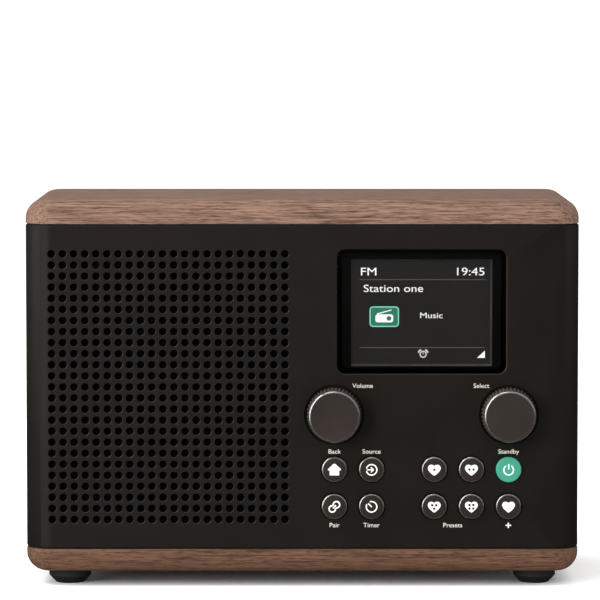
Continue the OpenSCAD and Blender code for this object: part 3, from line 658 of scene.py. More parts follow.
def sleeve():
    """The sleeve's walls as one closed shell: a front with all its holes, round corners, and a
    back with the recess for the cover."""
    edge = 0.25 * MM
    bend_x = HALF_W - CORNER_R
    plate_x = bend_x + 2.4 * MM
    z_low, z_high = SLEEVE_LOW.z, SLEEVE_HIGH.z
    turned = HALF_TURNED * edge
    edge_rows = [(edge, z_low), (turned, z_low + turned), (0, z_low + edge),
                 (0, z_high - edge), (turned, z_high - turned), (edge, z_high)]
    verts, faces = [], []

    def front_point(x, z, depth):
        """A point that deep in the front wall, which turns into the round corner past bend_x."""
        past = abs(x) - bend_x
        if past <= 0:
            return (x, FRONT_Y + depth, z)
        angle = math.asin(min(1.0, past / CORNER_R))
        r = CORNER_R - depth
        side = math.copysign(1, x)
        return (side * (bend_x + r * math.sin(angle)), FRONT_Y + CORNER_R - r * math.cos(angle), z)

    def back_point(x, z, depth):
        return (x, BACK_Y - depth, z)

    def add(points):
        start = len(verts)
        verts.extend(points)
        return list(range(start, len(verts)))

    def bridge(a, b, closed=True):
        n = len(a)
        for i in range(n if closed else n - 1):
            k = (i + 1) % n
            faces.append((a[i], a[k], b[k], b[i]))

    def stations(front):
        """Outer and inner points across the wall, from the flat part round one corner to the side."""
        made = []
        start = math.asin((plate_x - bend_x) / CORNER_R)
        steps = 12
        inner_r = CORNER_R - WALL
        for i in range(steps + 1):
            a = start + (math.pi / 2 - start) * i / steps
            x_out, y_out = bend_x + CORNER_R * math.sin(a), CORNER_R * math.cos(a)
            x_in, y_in = bend_x + inner_r * math.sin(a), inner_r * math.cos(a)
            if front:
                made.append(((x_out, FRONT_Y + CORNER_R - y_out), (x_in, FRONT_Y + CORNER_R - y_in)))
            else:
                y_centre = BACK_Y - REAR_WALL - inner_r
                made.append(((x_out, BACK_Y - CORNER_R + y_out), (x_in, y_centre + y_in)))
        return made

    def section(out, inn):
        """One closed section of the wall, its outer edges rounded."""
        out, inn = Vector(out), Vector(inn)
        inward = (inn - out).normalized()
        made = [(out.x + inward.x * d, out.y + inward.y * d, z) for d, z in edge_rows]
        return add(made + [(inn.x, inn.y, z_high), (inn.x, inn.y, z_low)])

    # The side walls, as sections from the front plate's edge to the back plate's edge
    ends = {}
    for side in (-1, 1):
        walk = stations(True) + stations(False)[::-1]
        loops = [section((side * o[0], o[1]), (side * i[0], i[1])) for o, i in walk]
        for a, b in zip(loops, loops[1:]):
            bridge(a, b)
        ends[side] = loops[0], loops[-1]

    # The front and back plates' edges: stations across the width, with no skin between them
    def edge_strips(point, xs, first, last, inner_depth):
        rows = edge_rows + [(inner_depth, z_high), (inner_depth, z_low)]
        loops = [first] + [add([point(x, z, d) for d, z in rows]) for x in xs] + [last]
        for a, b in zip(loops, loops[1:]):
            for i, k in ((0, 1), (1, 2), (3, 4), (4, 5), (5, 6), (7, 0)):
                faces.append((a[i], a[k], b[k], b[i]))
        return loops

    bends = [-bend_x - 1.2 * MM, -bend_x, bend_x, bend_x + 1.2 * MM]
    front_loops = edge_strips(front_point, bends, ends[-1][0], ends[1][0], WALL)
    back_loops = edge_strips(back_point, [-bend_x, bend_x], ends[-1][1], ends[1][1], REAR_WALL)

    def skin(loops, rows, hole_loops, flat_x):
        """Fills one skin between its bottom row and top row and round the holes."""
        border = [loop[rows[0]] for loop in loops] + [loop[rows[1]] for loop in reversed(loops)]
        zs = (verts[border[0]][2], verts[border[-1]][2])
        outer = [(x, zs[0]) for x in flat_x] + [(x, zs[1]) for x in reversed(flat_x)]
        flat_holes = [flat for flat, _ in hole_loops]
        ids = border + [v for _, loop in hole_loops for v in loop]
        _, tris = fill_loops(outer, flat_holes)
        faces.extend(tuple(ids[v] for v in tri) for tri in tris)

    def sunk(flat_loops, depths, point):
        """Rings of a hole's wall, from the skin inwards; returns the first and last ring."""
        rings = [add([point(x, z, d) for x, z in loop]) for loop, d in zip(flat_loops, depths)]
        for a, b in zip(rings, rings[1:]):
            bridge(a, b)
        return (flat_loops[0], rings[0]), (flat_loops[-1], rings[-1])

    def rounded_mouth(loop_at, round_r, floor):
        """Loops and depths of a hole whose mouth is rounded by round_r, then straight to floor."""
        loops, depths = [], []
        for deg in (0, 30, 60, 90):
            a = math.radians(deg)
            loops.append(loop_at(round_r * (1 - math.sin(a))))
            depths.append(round_r * (1 - math.cos(a)))
        return loops + [loop_at(0)], depths + [floor]

    mouths, backs = [], []

    def cut(flat_loops, depths):
        mouth, back = sunk(flat_loops, depths, front_point)
        mouths.append(mouth)
        backs.append(back)

    grille_x = centre_of("speaker_frame").x
    for i in range(GRILLE_COLUMNS):
        for k in range(GRILLE_ROWS):
            x = grille_x + (i - (GRILLE_COLUMNS - 1) / 2) * GRILLE_PITCH
            z = MID_Z + (k - (GRILLE_ROWS - 1) / 2) * GRILLE_PITCH
            cut(*rounded_mouth(lambda grow, x=x, z=z: circle_loop(x, z, GRILLE_HOLE_R + grow, 24),
                               0.15 * MM, WALL))
    for name in BUTTONS:
        at = centre_of(name)
        cut(*rounded_mouth(lambda grow, at=at: circle_loop(at.x, at.z, BUTTON_HOLE_R + grow, 72),
                           0.2 * MM, WALL))
    for knob in KNOBS:
        at = centre_of(knob + "_knob")
        well_r = size_of(knob + "_knob").z / 2 + WELL_GAP
        loops, depths = rounded_mouth(lambda grow, at=at: circle_loop(at.x, at.z, well_r + grow, 96),
                                      0.25 * MM, WELL_DEPTH)
        bush = circle_loop(at.x, at.z, BUSH_R, 96)
        cut(loops + [bush, bush], depths + [WELL_DEPTH, WALL])
    window = size_of("display_window")
    at = centre_of("display_window")
    wide, tall = window.x + WINDOW_GAP, window.z + WINDOW_GAP
    loops, depths = rounded_mouth(
        lambda grow: rect_loop(at.x, at.z, wide + 2 * grow, tall + 2 * grow, 3 * MM + grow, 10),
        0.25 * MM, WINDOW_DEPTH)
    ledge = rect_loop(at.x, at.z, window.x - 3.6 * MM, window.z - 3.6 * MM, 2 * MM, 10)
    cut(loops + [ledge, ledge], depths + [WINDOW_DEPTH, WALL])

    flat_x = [-plate_x] + bends + [plate_x]
    skin(front_loops, (2, 3), mouths, flat_x)
    skin(front_loops, (7, 6), backs, flat_x)

    cover = size_of("rear_cover")
    mouth_loop, recess = (rect_loop(0, MID_Z, cover.x + gap, cover.z + gap, 6 * MM, 8)
                          for gap in (0.7 * MM, 0.3 * MM))
    opening = rect_loop(0, MID_Z, cover.x - 17.7 * MM, cover.z - 17.7 * MM, 2 * MM, 8)
    mouth, back = sunk([mouth_loop, recess, recess, opening, opening],
                       [0, 0.2 * MM, RECESS_DEPTH, RECESS_DEPTH, REAR_WALL], back_point)
    flat_x = [-plate_x, -bend_x, bend_x, plate_x]
    skin(back_loops, (2, 3), [mouth], flat_x)
    skin(back_loops, (7, 6), [back], flat_x)

    made = make_piece("sleeve_shell", verts, faces, "body_black", "cabinet", ["cabinet_sleeve"],
                      "black_shell", 50)
    smooth_corners(made, bend_x)
    points = made.data.vertices

    def in_mouth(face):
        near = abs(face.center.x) < bend_x and face.center.y - FRONT_Y < 0.3 * MM
        on_rim = abs(face.center.z - MID_Z) > (SLEEVE_HIGH.z - SLEEVE_LOW.z) / 2 - 0.3 * MM
        return near and not on_rim and any(skin_gap(points[v].co, bend_x) > 1e-6 for v in face.vertices)

    # The lips of the holes, wells and window take the lighter, glossier black: real gloss, plus a lighter colour that
    # is a painted highlight.
    second_look(made, "body_edge", in_mouth)
    return made


def smooth_corners(made, bend_x):
    """Gives the front's curved ends their true normals, which the long triangles would spoil."""
    mesh = made.data
    normals = [(0.0, 0.0, 0.0)] * len(mesh.loops)
    for polygon in mesh.polygons:
        points = [mesh.vertices[v].co for v in polygon.vertices]
        on_skin = all(skin_gap(p, bend_x) < 1e-6 for p in points)
        if not on_skin or abs(polygon.normal.y) < 0.9 or polygon.center.y > FRONT_Y + 1 * MM:
            continue
        for loop in polygon.loop_indices:
            p = mesh.vertices[mesh.loops[loop].vertex_index].co
            past = max(0.0, abs(p.x) - bend_x) / CORNER_R
            normals[loop] = (math.copysign(past, p.x), -math.sqrt(1 - past * past), 0.0)
    mesh.normals_split_custom_set(normals)


def skin_gap(p, bend_x):
    """How far a point lies from the sleeve's outer front skin."""
    past = abs(p.x) - bend_x
    if past <= 0:
        return abs(p.y - FRONT_Y)
    return abs(math.hypot(past, p.y - FRONT_Y - CORNER_R) - CORNER_R)


# ---- Wood panels ----


def board(name, node, look, slot, up):
    """A wood panel: round corners, a full round on its outer edge and a small one at the seam."""
    low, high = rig.box(node)
    round_r = 7 * MM
    seam_r = 0.35 * MM
    inner_z, outer_z = (low.z, high.z) if up else (high.z, low.z)
    sign = 1 if up else -1
    w, d = high.x - low.x, high.y - low.y
    rings = []
    for i in range(5):
        a = math.radians(90 * i / 4)
        rings.append((seam_r * (1 - math.sin(a)), inner_z + sign * seam_r * (1 - math.cos(a))))
    for i in range(15):
        a = math.radians(90 * i / 14)
        rings.append((round_r * (1 - math.cos(a)), outer_z - sign * round_r * (1 - math.sin(a))))
    loops = [[(x, y, z) for x, y in rect_loop(0, 0, w - 2 * inset, d - 2 * inset, CORNER_R - inset, 14)]
             for inset, z in rings]
    return make_piece(name, *stacked(loops), look, "cabinet", [node], slot, 60)


# ---- Knobs, buttons and feet ----


def knob(which):
    """A knob with a smooth, slightly dished face, a round rim and a fluted skirt. The skirt is coloured lighter than
    the face: a painted highlight on the flutes.
    """
    node = which + "_knob"
    low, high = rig.box(node)
    at = Vector((centre_of(node).x, low.y, centre_of(node).z))
    depth = high.y - low.y
    base_r = (high.z - low.z) / 2
    face_r = base_r - 1.35 * MM
    rim = 0.75 * MM
    flutes = 44
    start, full = rim + 0.25 * MM, rim + 0.9 * MM

    def fluted(r, h, angle):
        if r < face_r - 1 * MM or h < start:
            return r
        share = min(1.0, (h - start) / (full - start))
        groove = max(0.0, 0.35 + 0.65 * math.cos(flutes * angle))
        return r - 0.6 * MM * share * groove

    def skirt(h):
        return face_r + (base_r - face_r) * min(1.0, 0.5 + 0.5 * h / depth)

    side_r = skirt(rim)
    profile = [(0, 0.16 * MM), (0.5 * face_r, 0.13 * MM), (0.8 * face_r, 0.07 * MM)]
    profile += [(side_r - rim - 0.25 * MM, 0.02 * MM)]
    profile += fillet(side_r - rim, rim, rim, -90, 0, 7)
    profile += [(skirt(h), h) for h in (start, (start + full) / 2, full, 0.35 * depth, 0.7 * depth)]
    profile += [(base_r - 0.05 * MM, depth - 0.3 * MM), (base_r - 0.3 * MM, depth)]
    inner_r, hub_r, bore_r = base_r - 1.6 * MM, 5 * MM, 3.05 * MM
    floor, bore_floor = 1.9 * MM, 1.5 * MM
    profile += [(inner_r, depth), (inner_r, floor), (hub_r, floor), (hub_r, depth)]
    profile += [(bore_r, depth), (bore_r, bore_floor), (0, bore_floor)]
    verts, faces = lathe(profile, flutes * 10, facing_front(at), fluted)
    made = make_piece(node + "_cap", verts, faces, "knob_satin", node, [node], "knob_plastic", 50)
    rim_start = side_r - rim

    def from_axis(face):
        return math.hypot(face.center.x - at.x, face.center.z - at.z)

    def on_rim(face):
        return from_axis(face) > rim_start and face.center.y < at.y + start

    def on_skirt(face):
        sideways = from_axis(face) > rim_start - 0.6 * MM
        return sideways and at.y + start < face.center.y < at.y + depth - 0.1 * MM

    second_look(made, "knob_rim", on_rim)
    # The skirt gets the lighter copy of the knob plastic: a painted highlight on the flutes.
    second_look(made, "knob_skirt", on_skirt)
    return made


def button(name):
    """A button with a slightly domed face, a rounded rim, a flange behind the wall and a stem."""
    low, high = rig.box(name)
    at = Vector((centre_of(name).x, low.y, centre_of(name).z))
    flange_over, flange_t, stem_r = 1.2 * MM, 1 * MM, 2.5 * MM
    r = (high.z - low.z) / 2 - flange_over
    length = high.y - low.y
    flange = 4.0 * MM
    rim = 0.5 * MM
    dome = 0.22 * MM
    face_r = r - rim
    profile = [(face_r * k / 8, dome * (k / 8) ** 2) for k in range(9)]
    profile += fillet(r - rim, dome + rim, rim, -78, 0, 6)
    profile += [(r, flange), (r + flange_over, flange), (r + flange_over, flange + flange_t)]
    profile += [(stem_r, flange + flange_t), (stem_r, length - 0.2 * MM)]
    profile += [(stem_r - 0.2 * MM, length), (0, length)]
    verts, faces = lathe(profile, 96, facing_front(at))
    standby = name == "button_standby"
    look = "mint" if standby else "button_satin"
    slot = "standby_plastic" if standby else "button_plastic"
    made = make_piece(name + "_cap", verts, faces, look, name, [name], slot, 40)
    if not standby:
        second_look(made, "knob_rim", lambda face: face.center.y < at.y + dome + rim
                    and math.hypot(face.center.x - at.x, face.center.z - at.z) > face_r)
    parts = [plate(outer, holes, at.y - 0.01 * MM, 0.1 * MM) for outer, holes in icon(BUTTONS[name], at)]
    icon_look = "pale_print" if standby else "white_print"
    make_piece(name + "_print", *joined(parts), icon_look, name, (), "white_plastic", 30)


def feet():
    """Four rubber feet, each with a recess for its screw."""
    low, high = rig.box("feet")
    height = high.z - low.z
    r = 7.65 * MM
    parts = []
    profile = [(3.3 * MM, 3 * MM), (3.3 * MM, 0.3 * MM), (3.6 * MM, 0)]
    profile += fillet(r - 2.1 * MM - 0.8 * MM, 0.8 * MM, 0.8 * MM, -90, -40, 4)
    profile += [(r - 0.35 * MM, 0.46 * height)]
    profile += [(r - 0.05 * MM, 0.52 * height), (r, 0.6 * height)]
    profile += [(r, height - 0.15 * MM), (r - 0.15 * MM, height), (1.55 * MM, height), (1.55 * MM, 3 * MM)]
    for x in (low.x + r, high.x - r):
        for y in (low.y + r, high.y - r):
            parts.append(lathe(profile, 64, facing_up(Vector((x, y, low.z)))))
    return make_piece("feet_rubber", *joined(parts), "rubber", "cabinet", ["feet"], "rubber", 35)


# ---- Flat shapes for icons and print, drawn in X and Z round a point ----


def band(at, r, width, start_deg, end_deg, steps=40):
    """Part of a ring, with square ends."""
    span = [math.radians(start_deg + (end_deg - start_deg) * i / steps) for i in range(steps + 1)]
    outer = [(at[0] + (r + width / 2) * math.cos(a), at[1] + (r + width / 2) * math.sin(a)) for a in span]
    inner = [(at[0] + (r - width / 2) * math.cos(a), at[1] + (r - width / 2) * math.sin(a)) for a in span]
    return outer + inner[::-1], []


def bar(a, b, width):
    """A bar with square ends from a to b."""
    along = Vector(b) - Vector(a)
    side = Vector((-along.y, along.x)).normalized() * width / 2
    a, b = Vector(a), Vector(b)
    return [tuple(a - side), tuple(b - side), tuple(b + side), tuple(a + side)], []


def heart_loop(at, width):
    """Two arcs that meet in a dip, and sides that curve to a point."""
    r = width * 0.272
    cx, cz = width / 2 - r, 0.13 * width
    points = [(cx + r * math.cos(a), cz + r * math.sin(a))
              for a in (math.radians(-28 + 168 * i / 18) for i in range(19))]
    half = [(0, -0.46 * width), (0.10 * width, -0.39 * width), (0.25 * width, -0.27 * width),
            (0.38 * width, -0.14 * width)] + points
    dip = (0, cz + 0.545 * r)
    right = half + [dip]
    left = [(-x, z) for x, z in reversed(half[1:])]
    return [(at[0] + x, at[1] + z) for x, z in right + left]


def icon(kind, centre):
    """The outlines and holes of a button's pictogram."""
    at = (centre.x, centre.z)

    def off(x, z):
        return (at[0] + x * MM, at[1] + z * MM)

    if kind.startswith("heart"):
        places = {
            "heart": [],
            "heart_1": [(0, 0)],
            "heart_2": [(-0.75, 0.1), (0.75, 0.1)],
            "heart_3": [(-0.72, 0.55), (0.72, 0.55), (0, -0.7)],
            "heart_4": [(x, z) for x in (-0.7, 0.7) for z in (-0.65, 0.65)],
        }[kind]
        return [(heart_loop(off(0, -0.02), 4.6 * MM), [circle_loop(*off(*p), 0.48 * MM, 16) for p in places])]
    if kind == "house":
        right = ((1.7, -2.0), (1.7, -0.2), (2.25, -0.2), (2.4, 0.15), (0.25, 2.15))
        left = tuple((-x, z) for x, z in reversed(right))
        return [([off(*p) for p in right + left], [])]
    if kind == "source":
        arrow = [off(*p) for p in ((-1.7, -0.2), (0.2, -0.2), (-0.38, -0.78), (-0.1, -1.05), (0.95, 0),
                                   (-0.1, 1.05), (-0.38, 0.78), (0.2, 0.2), (-1.7, 0.2))]
        return [band(at, 1.9 * MM, 0.42 * MM, -166, 166), (arrow, [])]
    if kind == "link":
        ring_r, thick = 1.15 * MM, 0.48 * MM
        return [band(off(-0.75, -0.75), ring_r, thick, 75, 375),
                band(off(0.75, 0.75), ring_r, thick, -105, 195),
                bar(off(-0.55, -0.55), off(0.55, 0.55), thick)]
    if kind == "dial":
        return [band(at, 1.9 * MM, 0.42 * MM, 152, 468), bar(off(0.1, -0.1), off(-1.2, 1.2), 0.42 * MM)]
    if kind == "power":
        return [band(off(0, -0.1), 1.75 * MM, 0.42 * MM, 122, 418), bar(off(0, 0.1), off(0, 2.1), 0.42 * MM)]
    raise ValueError(kind)


def word(text, x, z, height, align="CENTER", stretch=1.0):
    """Flat letters in Blender's own font: points in X and Z, and faces."""
    curve = bpy.data.curves.new("word", "FONT")
    curve.body = text
    curve.size = height / 0.72
    curve.align_x = align
    curve.align_y = "CENTER"
    curve.resolution_u = 6
    holder = bpy.data.objects.new("word", curve)
    bpy.context.scene.collection.objects.link(holder)
    bpy.context.view_layer.update()
    mesh = bpy.data.meshes.new_from_object(holder.evaluated_get(bpy.context.evaluated_depsgraph_get()))
    verts = [(v.co.x * stretch + x, v.co.y + z) for v in mesh.vertices]
    faces = [tuple(p.vertices) for p in mesh.polygons]
    bpy.data.objects.remove(holder)
    bpy.data.curves.remove(curve)
    bpy.data.meshes.remove(mesh)
    return verts, faces


def lettering(words, y_front, thickness):
    """Letters as closed thin solids that face the front."""
    verts, faces = [], []
    for flat, tris in words:
        work = bmesh.new()
        made = [work.verts.new((x, y_front, z)) for x, z in flat]
        for tri in tris:
            try:
                work.faces.new([made[i] for i in tri])
            except ValueError:
                continue
        bmesh.ops.remove_doubles(work, verts=work.verts, dist=1e-7)
        grown = bmesh.ops.extrude_face_region(work, geom=work.faces[:])
        moved = [g for g in grown["geom"] if isinstance(g, bmesh.types.BMVert)]
        bmesh.ops.translate(work, verts=moved, vec=(0, thickness, 0))
        work.verts.index_update()
        start = len(verts)
        verts += [tuple(v.co) for v in work.verts]
        faces += [tuple(v.index + start for v in f.verts) for f in work.faces]
        work.free()
    return verts, faces


def front_labels():
    """Plain function words beside the knobs and buttons, and a plus sign."""
    up, down, size = 6.4 * MM, -6.9 * MM, 1.65 * MM
    presets = (centre_of("button_preset_3") + centre_of("button_preset_4")) / 2
    favourite = centre_of("button_favourite")
    words = [
        ("Volume", centre_of("volume_knob"), 10.3 * MM, 10.4 * MM),
        ("Select", centre_of("select_knob"), -10.0 * MM, 10.4 * MM),
        ("Back", centre_of("button_back"), 0, up),
        ("Source", centre_of("button_source"), 0, up),
        ("Standby", centre_of("button_standby"), 0, up),
        ("Pair", centre_of("button_pair"), 0, down),
        ("Timer", centre_of("button_timer"), 0, down),
        ("Presets", presets, 0, down),
    ]
    thickness = 0.03 * MM
    y = FRONT_Y - thickness
    flat = [word(text, at.x + dx, at.z + dz, size, stretch=1.04) for text, at, dx, dz in words]
    arm, half = 1.0 * MM, 0.25 * MM
    quarter = [(half, -arm), (half, -half), (arm, -half)]
    plus = []
    for _ in range(4):
        plus += [(favourite.x + x, favourite.z + down + z) for x, z in quarter]
        quarter = [(-z, x) for x, z in quarter]
    parts = [lettering(flat, y, thickness), plate(plus, [], y, thickness)]
    return make_piece("front_print", *joined(parts), "label_print", "cabinet", (), "white_plastic", 30)


# ---- Display ----

SCREEN_W = 50.8 * MM
SCREEN_H = 38.5 * MM
SCREEN_DROP = 0.5 * MM


def display():
    """The pane, the black mask behind it, the screen's bezel, and what the screen shows."""
    low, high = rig.box("display_window")
    at = (low + high) / 2
    w, h = high.x - low.x, high.z - low.z
    edge = 0.12 * MM
    turned = HALF_TURNED * edge
    rings = [(edge, low.y), (turned, low.y + turned), (0, low.y + edge), (0, high.y)]
    loops = [[(x, y, z) for x, z in rect_loop(at.x, at.z, w - 2 * d, h - 2 * d, 2.8 * MM - d, 10)]
             for d, y in rings]
    make_piece("window_pane", *stacked(loops), "window_glass", "cabinet", ["display_window"], "window", 30)

    screen_z = at.z - SCREEN_DROP
    mask_t, glass_t = 0.12 * MM, 0.3 * MM

    def screen_rect(grow_mm, r_mm):
        return rect_loop(at.x, screen_z, SCREEN_W + grow_mm * MM, SCREEN_H + grow_mm * MM, r_mm * MM, 4)

    mask = plate(rect_loop(at.x, at.z, w - 0.2 * MM, h - 0.2 * MM, 2.7 * MM, 10), [screen_rect(0, 0.5)],
                 high.y, mask_t)
    make_piece("window_mask", *mask, "mask_black", "cabinet", (), "display", 30)

    panel_low, panel_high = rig.box("display_panel")
    face_y = panel_low.y
    front, back = high.y + mask_t, face_y - 0.02 * MM
    outlines = [(1.6, 0.9, front), (-0.2, 0.4, front), (-1.5, 0.3, back), (1.6, 0.9, back)]
    loops = [[(x, y, z) for x, z in screen_rect(grow_mm, r_mm)] for grow_mm, r_mm, y in outlines]
    make_piece("screen_bezel", *stacked(loops, closed=True), "bezel_grey", "cabinet", (), "display", 30)

    size = panel_high - panel_low
    centre = (panel_low + panel_high) / 2
    body = plate(rect_loop(centre.x, centre.z, size.x, size.z, 0.5 * MM, 4), [], face_y + glass_t,
                 size.y - glass_t)
    make_piece("display_module", *body, "bright_steel", "cabinet", ["display_panel"], "display", 30)
    glass = plate(screen_rect(0, 0.4), [], face_y, glass_t)
    make_piece("screen_glass", *glass, "screen_dark", "cabinet", (), "display", 30)
    screen_content(at.x, screen_z, face_y)


def screen_content(centre_x, centre_z, face_y):
    """Generic text, a time, a small picture of a radio, an alarm clock and a signal wedge."""
    thickness = 0.02 * MM
    y = face_y - thickness

    def off(x, z):
        return (centre_x + x * MM, centre_z + z * MM)

    def show(name, look, parts):
        make_piece(name, *joined(parts), look, "cabinet", (), "display", 30)

    def shape(outline):
        return plate(outline[0], outline[1], y, thickness)

    def rows(texts):
        return lettering([word(text, *off(x, z), size * MM, align, 1.25)
                          for text, x, z, size, align in texts], y, thickness)

    wedge = ([off(*p) for p in ((20.0, -16.3), (22.8, -16.3), (22.8, -13.7))], [])
    show("screen_text", "screen_white", [
        rows([("FM", -22.2, 14.65, 2.9, "LEFT"), ("19:45", 22.9, 14.65, 2.9, "RIGHT"),
              ("Station one", -21.0, 8.6, 2.7, "LEFT"), ("Music", 3.5, -1.1, 2.1, "CENTER")]),
        shape(wedge),
    ])
    clock = off(0.6, -15.0)
    show("screen_alarm", "screen_grey", [
        shape((circle_loop(*clock, 1.3 * MM, 32), [circle_loop(*clock, 0.85 * MM, 24)])),
        shape(bar(clock, (clock[0], clock[1] + 0.7 * MM), 0.3 * MM)),
        shape(band(clock, 1.8 * MM, 0.6 * MM, 18, 66, 8)),
        shape(band(clock, 1.8 * MM, 0.6 * MM, 114, 162, 8)),
    ])
    line = 0.22 * MM
    show("screen_lines", "screen_line", [
        shape(bar(off(-22.3, 11.9), off(22.9, 11.9), line)),
        shape(bar(off(-22.3, -12.6), off(22.9, -12.6), line)),
    ])
    badge = off(-13.4, -1.45)
    w, h = 10.6 * MM, 7.4 * MM
    border = 0.42 * MM
    show("screen_badge", "screen_green", [
        shape((rect_loop(*badge, w - 2 * border, h - 2 * border, 0.9 * MM, 6), [])),
    ])
    show("screen_badge_rim", "screen_mint", [
        shape((rect_loop(*badge, w, h, 1.3 * MM, 6),
               [rect_loop(*badge, w - 2 * border, h - 2 * border, 0.9 * MM, 6)])),
    ])
    radio = (badge[0], badge[1] - 0.6 * MM)
    y -= 0.01 * MM
    show("screen_badge_radio", "screen_white", [
        shape((rect_loop(*radio, 6.4 * MM, 2.9 * MM, 0.8 * MM, 6),
               [circle_loop(radio[0] + 1.7 * MM, radio[1], 0.85 * MM, 24)])),
        shape(bar((radio[0] - 2.6 * MM, radio[1] + 1.6 * MM), (radio[0] + 2.6 * MM, radio[1] + 3.0 * MM),
                  0.35 * MM)),
    ])


# ---- Speaker cloth ----


def cloth():
    """The acoustic cloth behind the baffle, taut, with a faint ripple."""
    low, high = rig.box("grille_cloth")
    cells_x, cells_z = 60, 72
    half_t = (high.y - low.y) / 2 * 0.8
    verts = []
    for side in (-1, 1):
        for k in range(cells_z + 1):
            for i in range(cells_x + 1):
                x = low.x + (high.x - low.x) * i / cells_x
                z = low.z + (high.z - low.z) * k / cells_z
                ripple = 0.02 * MM * math.sin(i * 0.9) * math.sin(k * 0.7)
                verts.append((x, (low.y + high.y) / 2 + side * half_t + ripple, z))
    row, layer = cells_x + 1, (cells_x + 1) * (cells_z + 1)
    faces = []
    for k in range(cells_z):
        for i in range(cells_x):
            a = k * row + i
            quad = (a, a + 1, a + row + 1, a + row)
            faces += [quad, tuple(v + layer for v in reversed(quad))]
    rim = list(range(row)) + [k * row + cells_x for k in range(1, cells_z + 1)]
    rim += [cells_z * row + i for i in range(cells_x - 1, -1, -1)]
    rim += [k * row for k in range(cells_z - 1, 0, -1)]
    faces += [(a, b, b + layer, a + layer) for a, b in zip(rim, rim[1:] + rim[:1])]
    made = make_piece("speaker_cloth", verts, faces, "cloth", "cabinet", ["grille_cloth"], "cloth", 40)
    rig.sheet(made, flat=(high.x - low.x, high.z - low.z), held="stretched", rests_on=["sleeve_shell"])
    return made


# ---- The speaker's soft rings ----

RING_SECTORS = 12


def soft_ring(name, node, look, walls, fixed_r, moving_r):
    """A flexible ring as closed sectors, each of which bends along its own middle radius, from the
    frame at fixed_r to the cone at moving_r. walls holds pairs of (radius, height), one on each skin."""
    axis = centre_of("speaker_cone")
    place = facing_front(Vector((axis.x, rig.box("speaker_frame")[0].y, axis.z)))
    half = math.pi / RING_SECTORS
    steps = 6
    around = len(walls)
    section = [wall[0] for wall in walls] + [wall[1] for wall in reversed(walls)]
    count = len(section)
    for k in range(RING_SECTORS):
        middle = 2 * half * k
        verts, faces = [], []
        for i in range(steps + 1):
            angle = middle + half * (2 * i / steps - 1)
            verts += [place(r, angle, h) for r, h in section]
        for i in range(steps):
            for j in range(count):
                a, b = i * count + j, i * count + (j + 1) % count
                faces.append((a, b, b + count, a + count))
        for start in (0, steps * count):
            for j in range(around - 1):
                faces.append((start + j, start + j + 1, start + count - 2 - j, start + count - 1 - j))
        made = make_piece(f"{name}_{k + 1}", verts, faces, look, None, [node], None, 40)
        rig.blend(made, "cabinet", "speaker_cone", place(fixed_r, middle, 0), place(moving_r, middle, 0))


def surround():
    """The half roll between the cone's lip and the frame, with its flat edge."""
    roll_x, roll_r, skin = 31.6 * MM, 2.2 * MM, 0.5 * MM
    edge_r = size_of("speaker_surround").z / 2
    steps = 12
    last = 180 - math.degrees(math.asin(skin / roll_r))
    walls = []
    for i in range(steps + 1):
        pair = []
        for r, span in ((roll_r, last), (roll_r - skin, 180)):
            angle = math.radians(180 + span * i / steps)
            pair.append((roll_x + r * math.cos(angle), r * math.sin(angle)))
        walls.append(pair)
    walls.append([(edge_r, -skin), (edge_r, 0)])
    soft_ring("surround", "speaker_surround", "rubber", walls, 32 * MM, 30 * MM)


def spider():
    """The pleated disc between the voice coil and the frame's ledge."""
    low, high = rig.box("speaker_spider")
    base = low.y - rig.box("speaker_frame")[0].y
    inner_r, pleated_r, rim_r = 10.15 * MM, 22.95 * MM, (high.z - low.z) / 2
    pleats, steps_each = 4, 8
    rise, thickness = 0.6 * MM, 0.4 * MM
    walls = []
    for i in range(pleats * steps_each + 1):
        share = i / (pleats * steps_each)
        h = base + rise / 2 * (1 - math.cos(TAU * pleats * share))
        r = inner_r + (pleated_r - inner_r) * share
        walls.append([(r, h), (r, h + thickness)])
    walls.append([(rim_r, base), (rim_r, base + thickness)])
    soft_ring("spider", "speaker_spider", "spider_cloth", walls, 22 * MM, 11 * MM)


# ---- Aerial ----


def aerial():
    """Drawn tubes with rolled ends, each inside the one before, and a round tip."""
    wall, tip_r = 0.4 * MM, 2.3 * MM
    at = centre_of("aerial_tube_1")
    for k in range(1, 6):
        node = f"aerial_tube_{k}"
        low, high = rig.box(node)
        r = (6 - (k - 1)) / 2 * MM
        start, end = low.x, high.x
        parts = []
        if k == 1:
            parts += tongue(low, at)
            start += 10.4 * MM
            profile = [(0, 0), (r - 0.5 * MM, 0), (r, 0.5 * MM)]
            profile += [(r, 2.2 * MM), (r - 0.25 * MM, 2.5 * MM), (r, 2.8 * MM)]
        else:
            profile = [(r - wall, 0), (r, 0)]
        tip = 5 * MM if k == 5 else 0
        length = end - start - tip
        if k == 5:
            profile = [(0, 0), (r, 0), (r, length)]
            profile += [(1.7 * MM, length), (tip_r, length + 0.5 * MM), (tip_r, length + 2.2 * MM)]
            profile += fillet(0, length + tip - tip_r, tip_r, 12, 90, 8)
        else:
            profile += [(r, length - 0.6 * MM), (r - 0.18 * MM, length), (r - wall, length)]
            if k == 1:
                profile += [(r - wall, 3 * MM), (0, 3 * MM)]
        origin = Vector((start, at.y, at.z))
        parts.append(lathe(profile, 48, facing_right(origin)))
        make_piece(node + "_drawn", *joined(parts), "chrome", node, [node], "aerial_chrome", 35)


